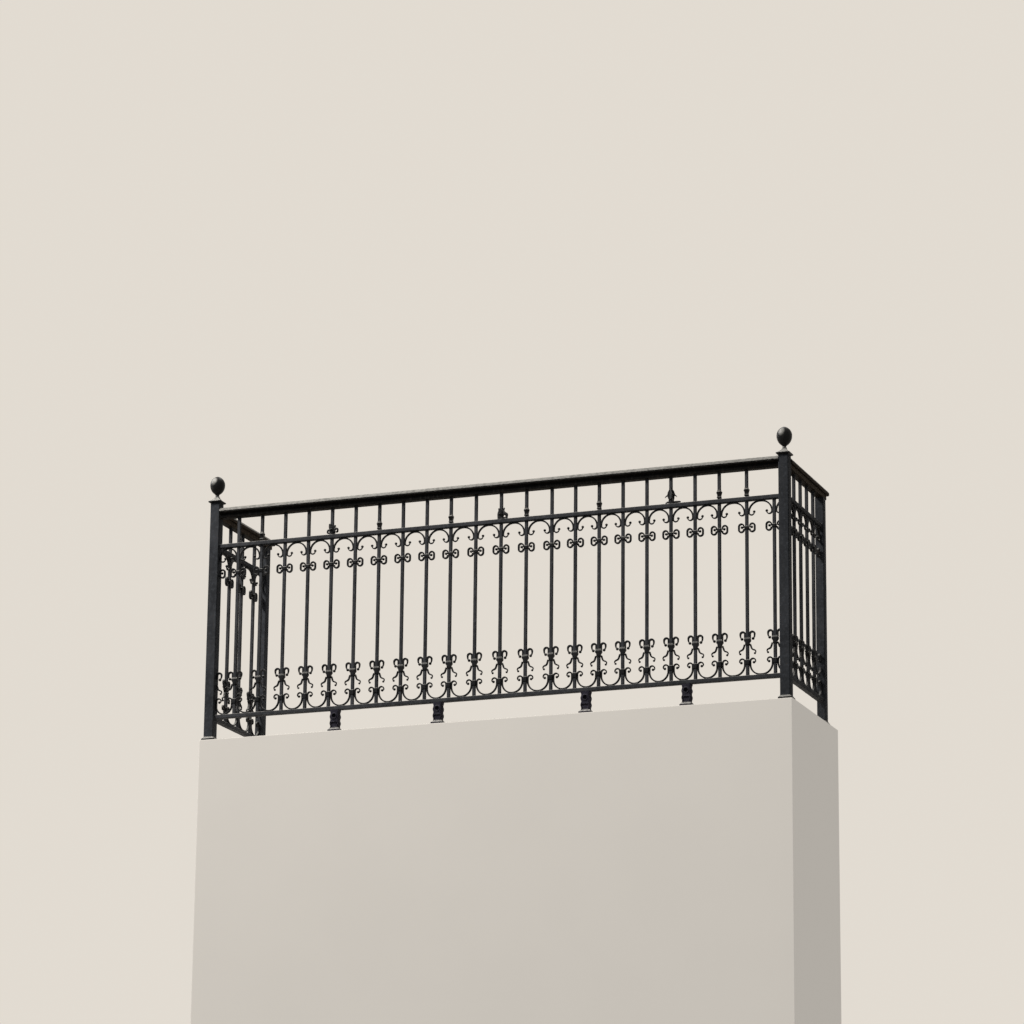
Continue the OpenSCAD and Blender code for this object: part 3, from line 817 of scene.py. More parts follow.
class RAILING_OT_caps(RailingStep):
    """Makes the hollow-sided caps of the corner posts"""
    bl_idname = "railing.caps"
    bl_label = "Post caps"

    def make(self):
        for side in ("left", "right"):
            node = side + "_post_cap"
            low, high = span(node, 2)
            half, post = half_span(node), half_span("front_" + side + "_post")
            edge = low + CAP_PLATE
            profile = [(post - 2, low, 2), (post + 1.2, low, 3), (post + 2, low + 0.8, 3),
                       (half - 2.4, low + 0.22 * CAP_PLATE, 3),
                       (half - 0.5, low + 0.42 * CAP_PLATE, 2.6),
                       (half, low + 0.55 * CAP_PLATE, 2.4), (half, edge - 1.4, 2.4),
                       (half - 0.5, edge - 0.6, 2.4), (half - 1.3, edge - 0.1, 2.4)]
            rise = high - low - CAP_PLATE
            for k in range(1, 13):
                u = k / 12
                reach = CAP_NECK + (half - 2 - CAP_NECK) * (1 - u) ** 2
                profile.append((reach, edge + u * rise, 1.6 + (reach - 1.6) * u ** 3))
            shell = Shell()
            shell.squares(profile, steps=6)
            self.dress(node + "_casting", shell, "cast_iron_paint", node, standing(node), 0.7, 16,
                       crease=40)


class RAILING_OT_finials(RailingStep):
    """Turns the egg finials on their necks"""
    bl_idname = "railing.finials"
    bl_label = "Egg finials"

    def make(self):
        for side in ("left", "right"):
            node = side + "_finial"
            base, top = span(node, 2)
            widest = half_span(node) - 0.15
            foot = base + NECK_HIGH
            egg = top - base - NECK_HIGH
            low = 0.53 * egg
            high = egg - low - 0.3
            profile = [(0, base), (NECK, base), (NECK + 0.3, base + 0.8), (NECK - 0.5, base + 1.8),
                       (NECK - 1.5, base + 0.42 * NECK_HIGH), (NECK - 1.2, base + 0.8 * NECK_HIGH)]
            for degrees in range(-66, 90, 4):
                a = math.radians(degrees)
                swell = math.cos(a) ** (1.12 if degrees < 0 else 1.0)
                tip = 1.6 * max(0, math.sin(a)) ** 14
                z = foot + low + (low if degrees < 0 else high - 1.6) * math.sin(a)
                profile.append((widest * swell, z + tip))
            profile.append((0, top - 0.1))
            shell = Shell()
            shell.turned(profile)
            self.dress(node + "_egg", shell, "cast_iron_paint", node, standing(node), 0.5, 20,
                       finish="egg_paint")


def handrail_outline():
    """Section of the moulded top: sloping shoulders, a quirk along each side, a soft underside."""
    half, top = MOULD_HALF, HAND[1]
    edge = ((4.5, 0), (3.0, 0.3), (2.2, 1.2), (2.0, 2.2), (1.2, 3.0), (0.4, 3.6), (0, 4.6),
            (0, 6.4), (0.5, 7.3), (1.5, 7.8), (1.8, 8.6), (1.5, 9.4), (0.5, 9.9), (0, 10.8))
    side = [(half - inwards, HAND[0] + UNDER_HIGH + z) for inwards, z in edge]
    for k in range(9):
        u = k / 8
        belly = 1.3 * math.sin(math.pi * u)
        side.append((half - 0.3 - 12.2 * u + 0.75 * belly, top - 15.2 + 14.4 * u + 0.65 * belly))
    side += [(half - 13.4, top - 0.2), (half - 15, top), (half * 0.33, top)]
    return side + [(-y, z) for y, z in reversed(side)]


class RAILING_OT_handrails(RailingStep):
    """Makes the moulded handrails and the flat bar under them, mitred at the inside corners"""
    bl_idname = "railing.handrails"
    bl_label = "Handrails"

    def make(self):
        top = handrail_outline()
        under = HAND[0] + UNDER_HIGH / 2
        flat = [(y, min(under + z, HAND[0] + UNDER_HIGH + 0.4))
                for y, z in rounded(UNDER_HALF, UNDER_HIGH / 2 + 0.4, 1.6)]
        for name, run in runs.items():
            # The side of the run that faces into the balcony, where the mitre lies
            inner = -1 if name == "left" else 1
            shell = Shell()
            end = run.length
            if name != "front":
                end = span(name + "_handrail", 1)[1] - mm(middle("front_" + name + "_post").y)
            for outline, short in ((top, 0), (flat, 15)):
                rings = []
                for k in range(41):
                    ring = []
                    for y, z in outline:
                        start = max(run.start, inner * y + FIT / 2)
                        stop = end - start if name == "front" else end - short
                        ring.append((start + (stop - start) * (k / 40), y, z))
                    rings.append(ring)
                shell.skin(rings)
            if name == "front":
                for x, side in ((run.start, 1), (run.stop, -1)):
                    end_weld(shell, x, side, UNDER_HALF, (HAND[0], HAND[0] + UNDER_HIGH),
                             mm(self.bars.weld))
            self.dress(name + "_handrail_moulding", shell, "handrail_paint", name + "_handrail",
                       run.place, 1, 70, crease=44)


class RAILING_OT_rails(RailingStep):
    """Makes the punched upper and bottom rails, swollen round the balusters"""
    bl_idname = "railing.rails"
    bl_label = "Rails"

    def make(self):
        for run in runs.values():
            for level in ("upper", "bottom"):
                self.rail(run, level)

    def rail(self, run, level):
        """One rail: rings along it, with a hole through it at each bar and welds round them."""
        node = f"{run.name}_{level}_rail"
        low, high = span(node, 2)
        half = half_span(node, 1 if run.name == "front" else 0)
        hole = BAR / 2 + 0.2
        swell, size = mm(self.bars.swell), mm(self.bars.weld)
        stations = [(run.start, 0, False)]
        for away, _, _ in run.bars:
            for offset, grow, punched in ((-20, 0, False), (-13, 0.35, False), (-hole, 1, True),
                                          (hole, 1, False), (13, 0.35, False), (20, 0, False)):
                x = away + offset
                if stations[-1][0] + 1 < x < run.stop - 1:
                    stations.append((x, grow * swell, punched))
        stations.append((run.stop, 0, False))
        filled = stations[:1]
        for station in stations[1:]:
            gap = station[0] - filled[-1][0]
            if gap > LONG_STEP:
                filled.append((filled[-1][0] + gap / 2, 0, False))
            filled.append(station)
        shell = Shell()
        rings = []
        for x, grow, _ in filled:
            outline = rounded(half + grow, (high - low) / 2, mm(self.bars.rail_corner), 2)
            outline = [(y, (low + high) / 2 + z) for y, z in outline]
            outline[3:3] = [(hole, high), (-hole, high)]
            outline[11:11] = [(-hole, low), (hole, low)]
            rings.append(shell.ring([(x, y, z) for y, z in outline]))
        for (_, _, punched), a, b in zip(filled, rings, rings[1:]):
            shell.bridge(a, b, skip=(3, 11) if punched else ())
            if punched:
                shell.faces += [(a[3], a[4], a[11], a[12]), (b[3], b[4], b[11], b[12]),
                                (a[3], b[3], b[12], a[12]), (a[4], b[4], b[11], a[11])]
        shell.faces += [tuple(rings[0]), tuple(rings[-1])]
        for k, (away, bar_low, _) in enumerate(run.bars):
            edge = [(away + x, y) for x, y in rounded(BAR / 2, BAR / 2, mm(self.bars.corner), 1)]
            weld(shell, edge, high, 0.75 * size, 1, k)
            if bar_low < low - 1:
                weld(shell, edge, low, 0.75 * size, -1, k + 0.5)
        for x, side in ((run.start, 1), (run.stop, -1)):
            end_weld(shell, x, side, half, (low, high), size)
        self.dress(f"{run.name}_{level}_rail_bar", shell, "iron_paint", node, run.place, 1, 26,
                   finish="bar_paint")


class RAILING_OT_balusters(RailingStep):
    """Makes the square balusters, lightly hammered"""
    bl_idname = "railing.balusters"
    bl_label = "Balusters"

    def make(self):
        for name, run in runs.items():
            shell = Shell()
            for k, (away, low, high) in enumerate(run.bars):
                bar(shell, away, low, high, BAR / 2, mm(self.bars.corner))
                if high > HAND[0] - 1:
                    edge = [(away + x, y) for x, y in rounded(BAR / 2, BAR / 2, 1, 1)]
                    weld(shell, edge, high, 0.75 * mm(self.bars.weld), -1, k)
            self.dress(name + "_baluster_bars", shell, "iron_paint", name + "_balusters",
                       run.place, 1.2, 30, finish="bar_paint")


def clear_between(a, b):
    """Clear width between two carriers."""
    return b.at - b.half - a.at - a.half


def bays(run):
    """Neighbouring carriers of a run, and whether the gap between them is cut short."""
    for a, b in zip(run.carriers, run.carriers[1:]):
        yield a, b, clear_between(a, b) < LEAST_GAP


def arch(clear, most, leg, volute, sizes):
    """Two mirrored halves from the middle of the crown, down and round into their balls."""
    thick = mm(sizes.strap)
    radius = min(clear / 2, most) - FIT
    steps = [(0, clear / 2 - FIT - radius), (radius - thick / 2, -90),
             (0, leg + most - FIT - radius)]
    half = arcs((0, -thick / 2 - FIT), 0, steps + volute)
    whole = [(-x, z, -h) for x, z, h in reversed(half[1:])] + half
    shell = Shell()
    strap(shell, whole, sizes, both_ends=True)
    return shell


def arch_row(run, level, bend, tacks, flip=False, inset=0):
    """An arch in each bay of a run, flipped into a cup or not, tack-welded at a level.

    The inset is how far a bar's collar stands into the bay. A short bay has the arch of the
    bay before it, cut off at the post.
    """
    row = Shell()
    for a, b, short in bays(run):
        left = a.at + a.half + (inset if a.is_bar else 0)
        right = b.at - b.half - (inset if b.is_bar else 0)
        clear = clear_between(*run.carriers[-3:-1]) - 2 * inset if short else right - left
        centre = left + clear / 2
        one = bend(clear, short).moved(centre, level, flip=flip)
        for side in (-1, 1):
            for x, rise, radii in tacks(clear):
                one.ball((centre + side * x, 0, level + rise), radii, 8, 6)
        row.add(one.cut_off(b.at - b.half - FIT) if short else one)
    return row


class RAILING_OT_arch_scrolls(RailingStep):
    """Bends the arches that hang under the upper rail"""
    bl_idname = "railing.arch_scrolls"
    bl_label = "Arch scrolls"

    def make(self):
        def bend(clear, short):
            return arch(clear, 49.5, 0.5, [(11.5, -190)], self.scrolls)

        def tacks(clear):
            return [(8, -1.2, (3.2, 2.6, 1.4)), (clear / 2 - 1.2, -46, (1.6, 3.4, 3.6))]

        for name, run in runs.items():
            shell = arch_row(run, UPPER[0], bend, tacks)
            self.dress(name + "_arches_forged", shell, "scroll_paint", name + "_arch_scrolls",
                       run.place, 0.6, 11)


class RAILING_OT_cup_scrolls(RailingStep):
    """Bends the cups that stand on the bottom rail"""
    bl_idname = "railing.cup_scrolls"
    bl_label = "Cup scrolls"

    def make(self):
        def bend(clear, short):
            volute = [(11.2, -180)] if short else [(11.2, -180), (5.5, -110)]
            return arch(clear, 47, 14, volute, self.scrolls)

        def tacks(clear):
            return [(9, 1.2, (3.2, 2.6, 1.4))]

        for name, run in runs.items():
            shell = arch_row(run, BOTTOM[1], bend, tacks, flip=True, inset=(COLLAR - BAR) / 2)
            self.dress(name + "_cups_forged", shell, "scroll_paint", name + "_cup_scrolls",
                       run.place, 0.6, 11)


def both_sides(shell, run, part, z, offset):
    """Puts a part on each side of every carrier that has room for it."""
    for a, b, short in bays(run):
        reach = offset if a.is_bar else 0
        one = part.moved(a.at + a.half + reach, z)
        shell.add(one.cut_off(b.at - b.half - FIT) if short else one)
        if not short:
            reach = offset if b.is_bar else 0
            shell.add(part.moved(b.at - b.half - reach, z, mirror=True))


class RAILING_OT_loop_scrolls(RailingStep):
    """Bends the pairs of loops at the upper collars"""
    bl_idname = "railing.loop_scrolls"
    bl_label = "Loop scrolls"

    def make(self):
        thick = LOOP_STOUT * mm(self.scrolls.strap)
        part = Shell()
        path = arcs((thick / 2 + FIT, -5), -85,
                    [(0, 3), (10.8, 175), (0, 13.4), (10.8, 180), (5.2, 130)], 2.0)
        strap(part, path, self.scrolls, stout=LOOP_STOUT)
        ring_z = sum(COLLARS[2]) / 2
        for name, run in runs.items():
            shell = Shell()
            both_sides(shell, run, part, ring_z, (COLLAR - BAR) / 2)
            self.dress(name + "_loops_forged", shell, "scroll_paint", name + "_loop_scrolls",
                       run.place, 0.6, 9)


class RAILING_OT_horn_scrolls(RailingStep):
    """Bends the horns over the wedge collars and the legs at their feet"""
    bl_idname = "railing.horn_scrolls"
    bl_label = "Horn and leg scrolls"

    def make(self):
        thick = LOOP_STOUT * mm(self.scrolls.strap)
        horn, leg = Shell(), Shell()
        path = arcs((thick / 2 + 2 * FIT, -3), 90, [(0, 17), (10.3, -180), (0, 5), (18, -52)], 2.0)
        strap(horn, path, self.scrolls, stout=HORN_STOUT, knob=1.08)
        path = arcs((thick / 2 + FIT, 0), -72,
                    [(0, 16), (13, 52), (0, 6), (7.5, -126), (0, 1)], 2.0)
        strap(leg, path, self.scrolls, knob=0.82)
        low, high = COLLARS[1]
        for name, run in runs.items():
            shell = Shell()
            both_sides(shell, run, horn, high, 0)
            both_sides(shell, run, leg, low + 4, 2)
            self.dress(name + "_horns_forged", shell, "scroll_paint", name + "_horn_scrolls",
                       run.place, 0.6, 9)


class RAILING_OT_collars(RailingStep):
    """Forges the collars round the balusters: upper bands, lower bands and wedges"""
    bl_idname = "railing.collars"
    bl_label = "Collars"

    def make(self):
        inner, half = BAR / 2 + FIT, COLLAR / 2
        band, wedge, ring = COLLARS
        for name, run in runs.items():
            shell = Shell()
            for away, _, _ in run.bars:
                for low, high in (ring, band):
                    shell.squares([
                        (inner, low + 0.6, 1), (half - 1.3, low, 1.4), (half - 0.4, low + 0.7, 1.6),
                        (half, low + 2.4, 1.8), (half + 0.1, (low + high) / 2, 1.9),
                        (half, high - 3, 1.8), (half - 0.5, high - 1.2, 1.6),
                        (half - 1.6, high, 1.4), (inner, high - 0.6, 1)], (away, 0), loop=True)
                low, high = wedge
                shell.squares([
                    (inner, low + 0.6, 1), (7.7, 8.2, low, 1.2), (8.4, 8.8, low + 0.8, 1.5),
                    (8.5, 9, low + 6, 1.6), (8.6, 9, low + 11, 1.6), (10.3, 9, low + 14, 1.7),
                    (12.8, 9, low + 16.8, 1.8), (13.8, 9.1, low + 18.4, 2),
                    (14, 9.3, low + 20, 2.2), (14, 9.3, high - 8.2, 2.2),
                    (13.6, 9.0, high - 7.2, 2.2), (12.0, 7.4, high - 1.6, 2),
                    (11.6, 7.0, high - 0.6, 2), (11.0, 6.8, high, 1.8),
                    (inner, high - 0.4, 1)], (away, 0), loop=True)
            self.dress(name + "_collars_forged", shell, "scroll_paint", name + "_collars",
                       run.place, 0.8, 12, finish="collar_paint")


def front_boxes(node):
    """Lowest and highest corner of each of a node's solids, in the front run's millimetres."""
    start = runs["front"].place.inverted()
    return [(start @ low, start @ high) for low, high in solids_of(node)]


class RAILING_OT_knuckles(RailingStep):
    """Casts the knuckles over the upper rail"""
    bl_idname = "railing.knuckles"
    bl_label = "Knuckles"

    def make(self):
        shell = Shell()
        inner, knob = BAR / 2 + FIT, 3.7
        profile = [(inner, 0, 1), (8.3, 0, 2), (9.1, 1, 2.4), (9.1, 3.2, 2.4), (8.1, 4.6, 2.2),
                   (7.7, 8, 2.2), (7.9, 13.5, 2.2), (9.2, 18.5, 2.8), (10.1, 22.5, 3.2),
                   (10, 26, 3.2), (8.9, 29, 2.8), (7.7, 31.2, 2.2), (7.3, 33, 2), (7.6, 34.4, 2),
                   (7.1, 35.8, 1.8), (inner, 36, 1)]
        for low, high in front_boxes("baluster_knuckles"):
            x, base, share = (low.x + high.x) / 2, low.z, (high.z - low.z) / profile[-1][1]
            shell.squares([(half, base + z * share, corner) for half, z, corner in profile], (x, 0),
                          loop=True)
            reach = (high.x - low.x) / 2 - FIT - knob
            for side in (-reach, reach):
                for place in ((x + side, 0), (x, side)):
                    shell.ball((*place, base + 24.5 * share), (knob, knob, 3.9), 16, 10)
        self.dress("baluster_knuckles_cast", shell, "cast_iron_paint", "baluster_knuckles",
                   runs["front"].place, 0.9, 7)


def stations_on(spine, at, turn):
    """Share of the way, centre, outward and sideways directions at each station of a leaf's spine.

    The spine holds radius, height and heading; the leaf grows from a place, turned round it.
    """
    side = Vector((-math.sin(turn), math.cos(turn), 0))
    away = Vector((math.cos(turn), math.sin(turn), 0))
    for k, (r, z, h) in enumerate(spine):
        out = away * -math.sin(h) + Vector((0, 0, 1)) * math.cos(h)
        yield k / (len(spine) - 1), Vector(at) + away * r + Vector((0, 0, z)), out, side


def blade(shell, at, turn, spine, wide, thick=2.6, lobes=2.5, cup=0.25):
    """A leaf blade with a rib along its middle, on a spine of radius, height and heading."""
    rings = []
    for u, centre, out, side in stations_on(spine, at, turn):
        half = wide * (0.28 + 0.72 * math.sin(math.pi * min(1, 0.12 + 0.9 * u) ** 0.75) ** 0.8)
        half *= (1 - u) ** 0.25 if u > 0.6 else 1
        half = max(0.7, half * (1 + 0.16 * math.sin(math.tau * lobes * u)))
        t = thick * (1 - 0.6 * u) / 2
        bend = cup * half
        section = [(-1, -bend), (-0.55, t - 0.3 * bend), (-0.12, t + 0.1), (0, t + 0.9),
                   (0.12, t + 0.1), (0.55, t - 0.3 * bend), (1, -bend), (0.5, -t - 0.3 * bend),
                   (0, -t), (-0.5, -t - 0.3 * bend)]
        rings.append([centre + side * (half * s) + out * o for s, o in section])
    shell.skin(rings)


def lobe(shell, at, turn, spine, thick, deep, tip=0.3, scallops=0, ball=0):
    """A curled leaf lobe on a spine, scalloped along its back, with a ball at its tip or not."""
    rings = []
    for u, centre, out, side in stations_on(spine, at, turn):
        share = 1 - (1 - tip) * u ** 1.7
        back = 1 + 0.5 * abs(math.sin(math.pi * scallops * u))
        ring = []
        for i in range(14):
            a = math.tau * i / 14
            reach = share * thick / 2 * math.cos(a) * (back if math.cos(a) > 0 else 1)
            rib = 1 - 0.22 * math.exp(-(math.sin(a) / 0.3) ** 2)
            ring.append(centre + out * reach * rib + side * (share * deep / 2 * math.sin(a)))
        rings.append(ring)
    shell.skin(rings)
    if ball:
        shell.ball(sum(rings[-1], Vector()) / len(rings[-1]), (ball, ball, ball), 16, 10)


# The ways that a leaf grows from its bar
RIGHT, LEFT, FRONT, BACK = 0, math.pi, -math.pi / 2, math.pi / 2


class RAILING_OT_leaves(RailingStep):
    """Casts the leaf ornaments over the upper rail"""
    bl_idname = "railing.leaves"
    bl_label = "Leaf ornaments"

    def make(self):
        shell = Shell()
        kinds = ((self.curled, 11), (self.hooked, 11), (self.spear, 26))
        for (low, high), (leaves, socket) in zip(front_boxes("leaf_ornaments"), kinds):
            at = ((low.x + high.x) / 2, 0, low.z)
            self.socket(shell, at, socket)
            leaves(shell, at, high.z - low.z)
        self.dress("leaf_ornaments_cast", shell, "cast_iron_paint", "leaf_ornaments",
                   runs["front"].place, 0.8, 6, crease=60, finish="leaf_paint")

    @staticmethod
    def socket(shell, at, tall):
        """The square foot that holds the leaves."""
        inner = BAR / 2 + FIT
        shell.squares([(wide, at[2] + z, corner) for wide, z, corner in (
            (inner, 0, 1), (9.0, 0, 2), (9.8, 1, 2.5), (9.8, 4.5, 2.5), (8.5, 6.2, 2.2),
            (8.2, 7.4, 2), (8.4, tall - 2.4, 2), (8.9, tall - 1.2, 2), (8.1, tall, 2),
            (inner, tall, 1))], at[:2], loop=True)

    @staticmethod
    def curled(shell, at, tall):
        """Two curled lobes under two upright ones that end in balls."""
        for turn, spine, *sizes in (
                (RIGHT, arcs((10.4, 1), 88, [(0, 18), (7.2, -270)], 1.4), 8.8, 11, 0.8, 3),
                (LEFT, arcs((9.2, 1), 88, [(0, 14), (6.0, -270)], 1.4), 8.4, 11, 0.8, 3),
                (RIGHT, arcs((8.0, 20), 80, [(0, 14), (14, -20)], 1.6), 11.0, 11, 0.75, 2, 5.2),
                (LEFT, arcs((8.0, 18), 78, [(0, 18), (26, 24)], 1.6), 11.0, 11, 0.65, 2, 5.0)):
            lobe(shell, at, turn, spine, *sizes)
        for turn in (FRONT, BACK):
            blade(shell, at, turn, arcs((8.0, 4), 78, [(30, 20), (8, -140), (4, -120)], 1.6), 8.5)
            blade(shell, at, turn, arcs((7.6, 24), 88, [(0, 12), (16, -40)], 1.8), 5.0)

    @staticmethod
    def hooked(shell, at, tall):
        """A full leaf on the left and an open hook on the right, under two points."""
        for turn, spine, *sizes in (
                (LEFT, arcs((11.0, 2), 86, [(0, 18), (60, 18)], 1.6), 13.0, 11, 0.6, 3),
                (LEFT, arcs((8.0, 28), 80, [(0, tall - 30)], 1.8), 10.0, 10, 0.6, 2, 3.6),
                (RIGHT, arcs((7.0, 28), 74, [(0, tall - 29)], 1.8), 10.0, 10, 0.55, 2, 3.4),
                (RIGHT, arcs((3.2, 15), 84, [(10.4, -176), (0, 8)], 1.4), 14.0, 12, 0.8, 2, 5.4),
                (RIGHT, arcs((5.0, 36), -40, [(0, 8), (16, -40)], 1.4), 11.0, 11, 0.75, 1),
                (RIGHT, arcs((6.5, 4), 6, [(24, 30)], 1.6), 9.0, 11, 0.4, 1)):
            lobe(shell, at, turn, spine, *sizes)
        for turn in (FRONT, BACK):
            blade(shell, at, turn, arcs((8.0, 4), 80, [(34, 16), (9, -130), (4, -90)], 1.6), 7.5)
            blade(shell, at, turn, arcs((7.6, 22), 88, [(0, 14), (20, -26)], 1.8), 5.0)

    @staticmethod
    def spear(shell, at, tall):
        """A tall pointed blade front and back over leaves that hang outwards."""
        for turn in (FRONT, BACK):
            blade(shell, at, turn, arcs((15.5, 18), 97.5, [(0, tall - 18)]), 8.5, 3.4, 0.5, 0.6)
            blade(shell, at, turn, arcs((8.6, 3), 80, [(30, 18), (7, -120)], 1.6), 7.5)
        for turn in (RIGHT, LEFT):
            lobe(shell, at, turn, arcs((5.5, 41), -8, [(32, -46)], 1.6), 8.0, 9, 0.15, 2)
            lobe(shell, at, turn, arcs((6.0, 5), 50, [(9.5, -160)], 1.5), 7.6, 10, 0.35, 2)
        lobe(shell, at, RIGHT, arcs((4.5, 60), -50, [(60, -28)], 1.8), 8.0, 9, 0.3, 2)
        lobe(shell, at, LEFT, arcs((4.5, 56), -64, [(60, -12)], 1.8), 6.5, 9, 0.25, 2)
        lobe(shell, at, RIGHT, arcs((6.0, 5.5), 3, [(0, 30), (18, -22)], 1.8), 8.0, 13, 0.55, 2)


class RAILING_OT_feet(RailingStep):
    """Casts the feet: scalloped sides, a boss with a deep eye and a sunk panel"""
    bl_idname = "railing.feet"
    bl_label = "Cast feet"

    # Rows up a foot and columns across each of its faces
    rows, columns = 76, 36
    # How far the flange stands past the upright, and the heights where it ends and the eye sits
    flange_out, flange_top, eye_z = 7, 8.4, 68

    def make(self):
        shell = Shell()
        for low, high in front_boxes("rail_feet"):
            self.foot(shell, (low.x + high.x) / 2, (high.x - low.x) / 2, (high.y - low.y) / 2)
        self.dress("rail_feet_cast", shell, "cast_iron_paint", "rail_feet",
                   runs["front"].place, 1, 8, crease=60, finish="foot_paint")

    def foot(self, shell, x, flange, flange_deep):
        """One foot: an upright with a face front and back, over a flange."""
        half, deep = flange - self.flange_out, flange_deep - self.flange_out
        top = BOTTOM[0] - FIT
        rings = []
        for k in range(self.rows + 1):
            u = k / self.rows
            z = self.flange_top + u * (top - self.flange_top)
            wide = half - 1.6 + 1.6 * math.cos(math.radians(1080 * u))
            ring = []
            for side in (-1, 1):
                for c in range(self.columns + 1):
                    across = -side * (1 - 2 * c / self.columns) * (wide - 1.2)
                    out = deep + self.relief(across, z, wide)
                    ring.append((x + across, side * out, z))
                edge, flank = x + side * wide, side * (deep - 1.2)
                ring += [(edge, flank, z), (edge, 0, z), (edge, -flank, z)]
            rings.append(ring)
        shell.skin(rings)
        shell.squares([(flange - 0.6, flange_deep - 0.6, 0, 3), (flange, flange_deep, 0.8, 3.5),
                       (flange, flange_deep, 7.8, 3.5), (flange - 0.4, flange_deep - 0.4, 8.6, 3.5),
                       (flange - 3.6, flange_deep - 3.6, 11.8, 3.5),
                       (half + 1.8, deep + 2.0, 14.2, 3.5), (half + 0.6, deep + 1.0, 15.6, 3),
                       (half - 0.6, deep - 0.4, 16.2, 3)], (x, 0))

    def relief(self, across, z, wide):
        """How far the face stands out of or into the casting."""
        r = math.hypot(across, z - self.eye_z)
        ring = 2.6 * math.exp(-((r - 11.2) / 2.4) ** 2)
        hole = -9.0 / (1 + math.exp((r - 7.6) / 0.55))
        inside = max(abs(across) - (wide - 5.2), abs(z - 30) - 11.0)
        panel = -3.4 / (1 + math.exp(inside / 0.5))
        border = 0.9 * math.exp(-((inside - 1.6) / 1.1) ** 2)
        fillet = -0.5 * math.exp(-((abs(across) - wide + 0.8) / 1.0) ** 2)
        return ring + hole + panel + border + fillet


# Lamp: place and size in metres, and colour; its power is a value of the stage
LAMPS = {
    "key": ((-4.5, -3.8, 7.4), 2.0, (1.0, 0.98, 0.95)),
    "side": ((-7.2, 0.6, 4.6), 3.4, (0.93, 0.97, 1.0)),
    "fill": ((6.5, -5.0, 2.6), 4.0, (1.0, 0.93, 0.86)),
    "overhead": ((-0.4, 2.4, 6.2), 3.0, (1.0, 1.0, 1.0)),
}
# The point that the lamps are turned to
AIM = Vector((0, 0, 0.6))
# Colour of the soft light from all round
SKY = (0.93, 0.96, 1.0, 1.0)
# How far the floor block reaches behind the returns and below the floor, in millimetres
FLOOR_BEHIND, FLOOR_DEEP = 60, 1900
# Rounded upper edge of the floor block: inset, height and corner radius
FLOOR_EDGE = ((0, -4, 5), (0.6, -1.7, 5), (1.8, -0.5, 4), (4, 0, 4))
# The camera's place in metres, its yaw, pitch and roll in degrees, and its lens
CAMERA_AT = (5.938, -15.5345, -3.593)
CAMERA_TURN = (20.97, 15.39, 0.589)
FOCAL_PIXELS, FRAME_PIXELS, SENSOR = 3966, 1024, 36


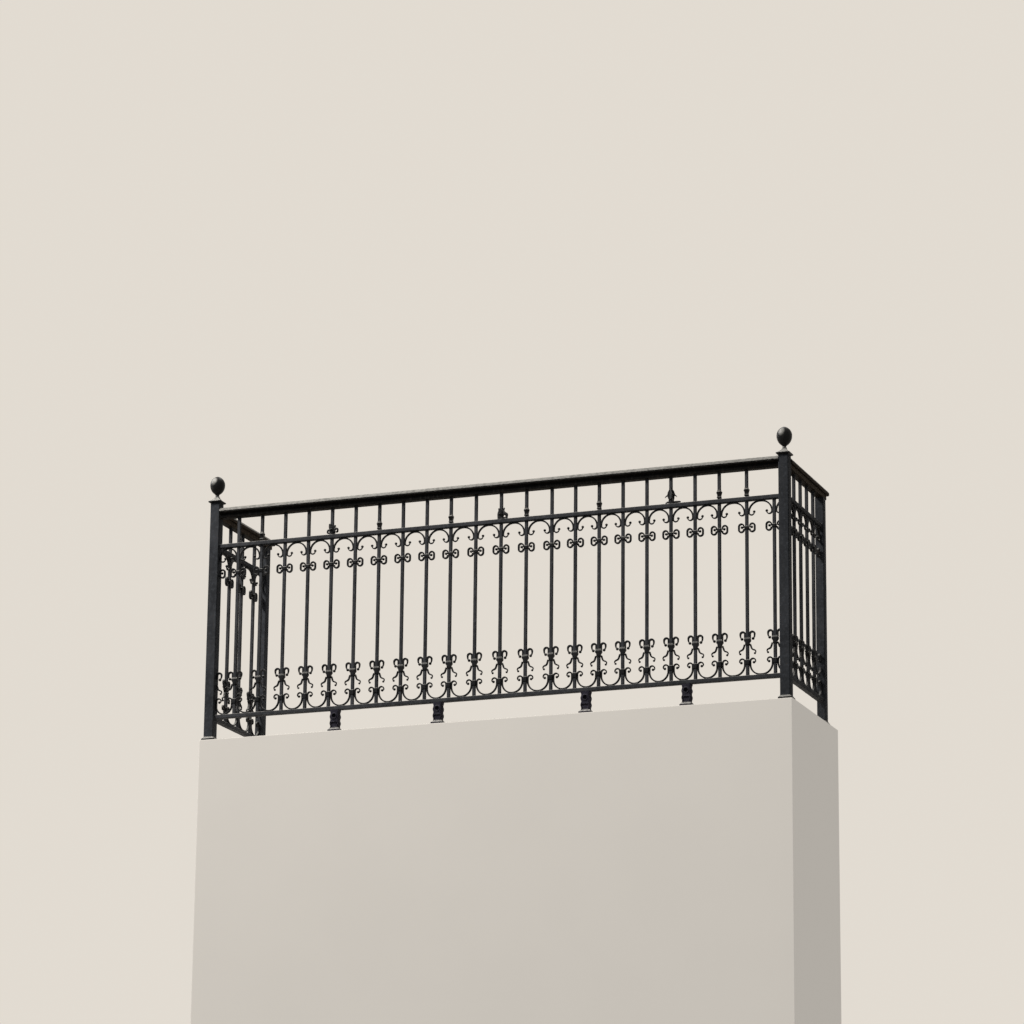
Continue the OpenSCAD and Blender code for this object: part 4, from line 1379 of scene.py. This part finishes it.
class RAILING_OT_stage(RailingStep):
    """Sets the pale floor block, the backdrop, the lamps and the camera"""
    bl_idname = "railing.stage"
    bl_label = "Stage, lamps and camera"

    def make(self):
        self.floor()
        self.world()
        self.lamps()
        self.camera()

    def floor(self):
        """A block that ends just before the base plates, so that they show from below."""
        margin = mm(self.stage.margin)
        wide = span("front_right_base", 0)[1] + margin
        front, back = span("front_left_base", 1)[0] - margin, mm(CAD_BOX[1][1]) + FLOOR_BEHIND
        deep, centre = (back - front) / 2, (front + back) / 2
        shell = Shell()
        shell.squares([(wide - inset, deep - inset, z, corner)
                       for inset, z, corner in ((0, -FLOOR_DEEP, 5),) + FLOOR_EDGE], (0, centre))
        paint = plain_floor(self.stage.floor, self.stage.backdrop)
        block = solid_object("floor_block", shell, METRES, 34.4, paint)

    def world(self):
        """The backdrop where it is seen, and a soft light, weaker from below and the right."""
        world = bpy.data.worlds.new("studio")
        bpy.context.scene.world = world
        tree = cleared(world)
        shown = wire(tree, "Background", {"Color": colour(self.stage.backdrop), "Strength": 1.0})
        way = wire(tree, "TexCoord").outputs["Generated"]
        lee = between(tree, along(tree, way, "X"), -0.4, 0.9, 1.0, 0.4)
        light = times(tree, between(tree, along(tree, way, "Z"), -0.7, 0.9, 0.07, 0.44), lee)
        soft = wire(tree, "Background", {"Color": SKY, "Strength": light})
        blend = wire(tree, "MixShader", {0: seen_rays(tree), 1: soft.outputs[0],
                                         2: shown.outputs[0]})
        wire(tree, "OutputWorld", {"Surface": blend.outputs[0]})

    def lamps(self):
        """Square lamps round the railing, turned to its middle."""
        for name, (at, size, tint) in LAMPS.items():
            light = bpy.data.lights.new(name + "_lamp", "AREA")
            light.shape = "SQUARE"
            light.size = size
            light.energy = getattr(self.stage, name)
            light.color = tint
            made = bpy.data.objects.new(name + "_lamp", light)
            made.location = at
            made.rotation_euler = (AIM - Vector(at)).to_track_quat("-Z", "Y").to_euler()
            bpy.context.scene.collection.objects.link(made)

    def camera(self):
        """The camera at the photograph's viewing angle, from below the floor."""
        yaw, pitch, roll = (math.radians(a) for a in CAMERA_TURN)
        right = Vector((math.cos(yaw), math.sin(yaw), 0))
        ahead = Vector((-math.sin(yaw) * math.cos(pitch), math.cos(yaw) * math.cos(pitch),
                        math.sin(pitch)))
        up = right.cross(ahead)
        across = math.cos(roll) * right + math.sin(roll) * up
        upright = -math.sin(roll) * right + math.cos(roll) * up
        data = bpy.data.cameras.new("camera")
        data.sensor_width = SENSOR
        data.lens = FOCAL_PIXELS * SENSOR / FRAME_PIXELS
        data.clip_start, data.clip_end = 0.1, 200
        made = bpy.data.objects.new("camera", data)
        turn = Matrix((across, upright, -ahead)).transposed()
        made.matrix_world = Matrix.Translation(CAMERA_AT) @ turn.to_4x4()
        bpy.context.scene.collection.objects.link(made)
        bpy.context.scene.camera = made


STEPS = (
    RAILING_OT_stage, RAILING_OT_paint, RAILING_OT_posts, RAILING_OT_bases, RAILING_OT_caps,
    RAILING_OT_finials, RAILING_OT_handrails, RAILING_OT_rails, RAILING_OT_balusters,
    RAILING_OT_arch_scrolls, RAILING_OT_cup_scrolls, RAILING_OT_loop_scrolls,
    RAILING_OT_horn_scrolls, RAILING_OT_collars, RAILING_OT_knuckles, RAILING_OT_leaves,
    RAILING_OT_feet,
)


class RAILING_PT_panel(bpy.types.Panel):
    """Lists the steps and the values that a user may change"""
    bl_idname = "RAILING_PT_panel"
    bl_label = "Iron balcony railing"
    bl_space_type = "VIEW_3D"
    bl_region_type = "UI"
    bl_category = "Railing"

    def draw(self, context):
        """Shows each group of values and a button for each step."""
        for name, group in GROUPS.items():
            box = self.layout.box()
            box.label(text=group.__doc__)
            for key in group.__annotations__:
                box.prop(getattr(context.scene, name), key)
        for step in STEPS:
            self.layout.operator(step.bl_idname)


def register():
    """Registers the values, the steps and the panel."""
    for name, group in GROUPS.items():
        bpy.utils.register_class(group)
        setattr(bpy.types.Scene, name, PointerProperty(type=group))
    for step in STEPS:
        bpy.utils.register_class(step)
    bpy.utils.register_class(RAILING_PT_panel)


def unregister():
    """Takes the panel, the steps and the values away again."""
    bpy.utils.unregister_class(RAILING_PT_panel)
    for step in reversed(STEPS):
        bpy.utils.unregister_class(step)
    for name, group in GROUPS.items():
        delattr(bpy.types.Scene, name)
        bpy.utils.unregister_class(group)


def main():
    """Dresses the railing step by step."""
    register()
    bpy.context.scene.view_settings.view_transform = "Standard"
    for step in STEPS:
        area, name = step.bl_idname.split(".")
        if getattr(getattr(bpy.ops, area), name)() != {"FINISHED"}:
            raise RuntimeError(step.bl_label + " didn't finish")


if __name__ == "__main__":
    main()
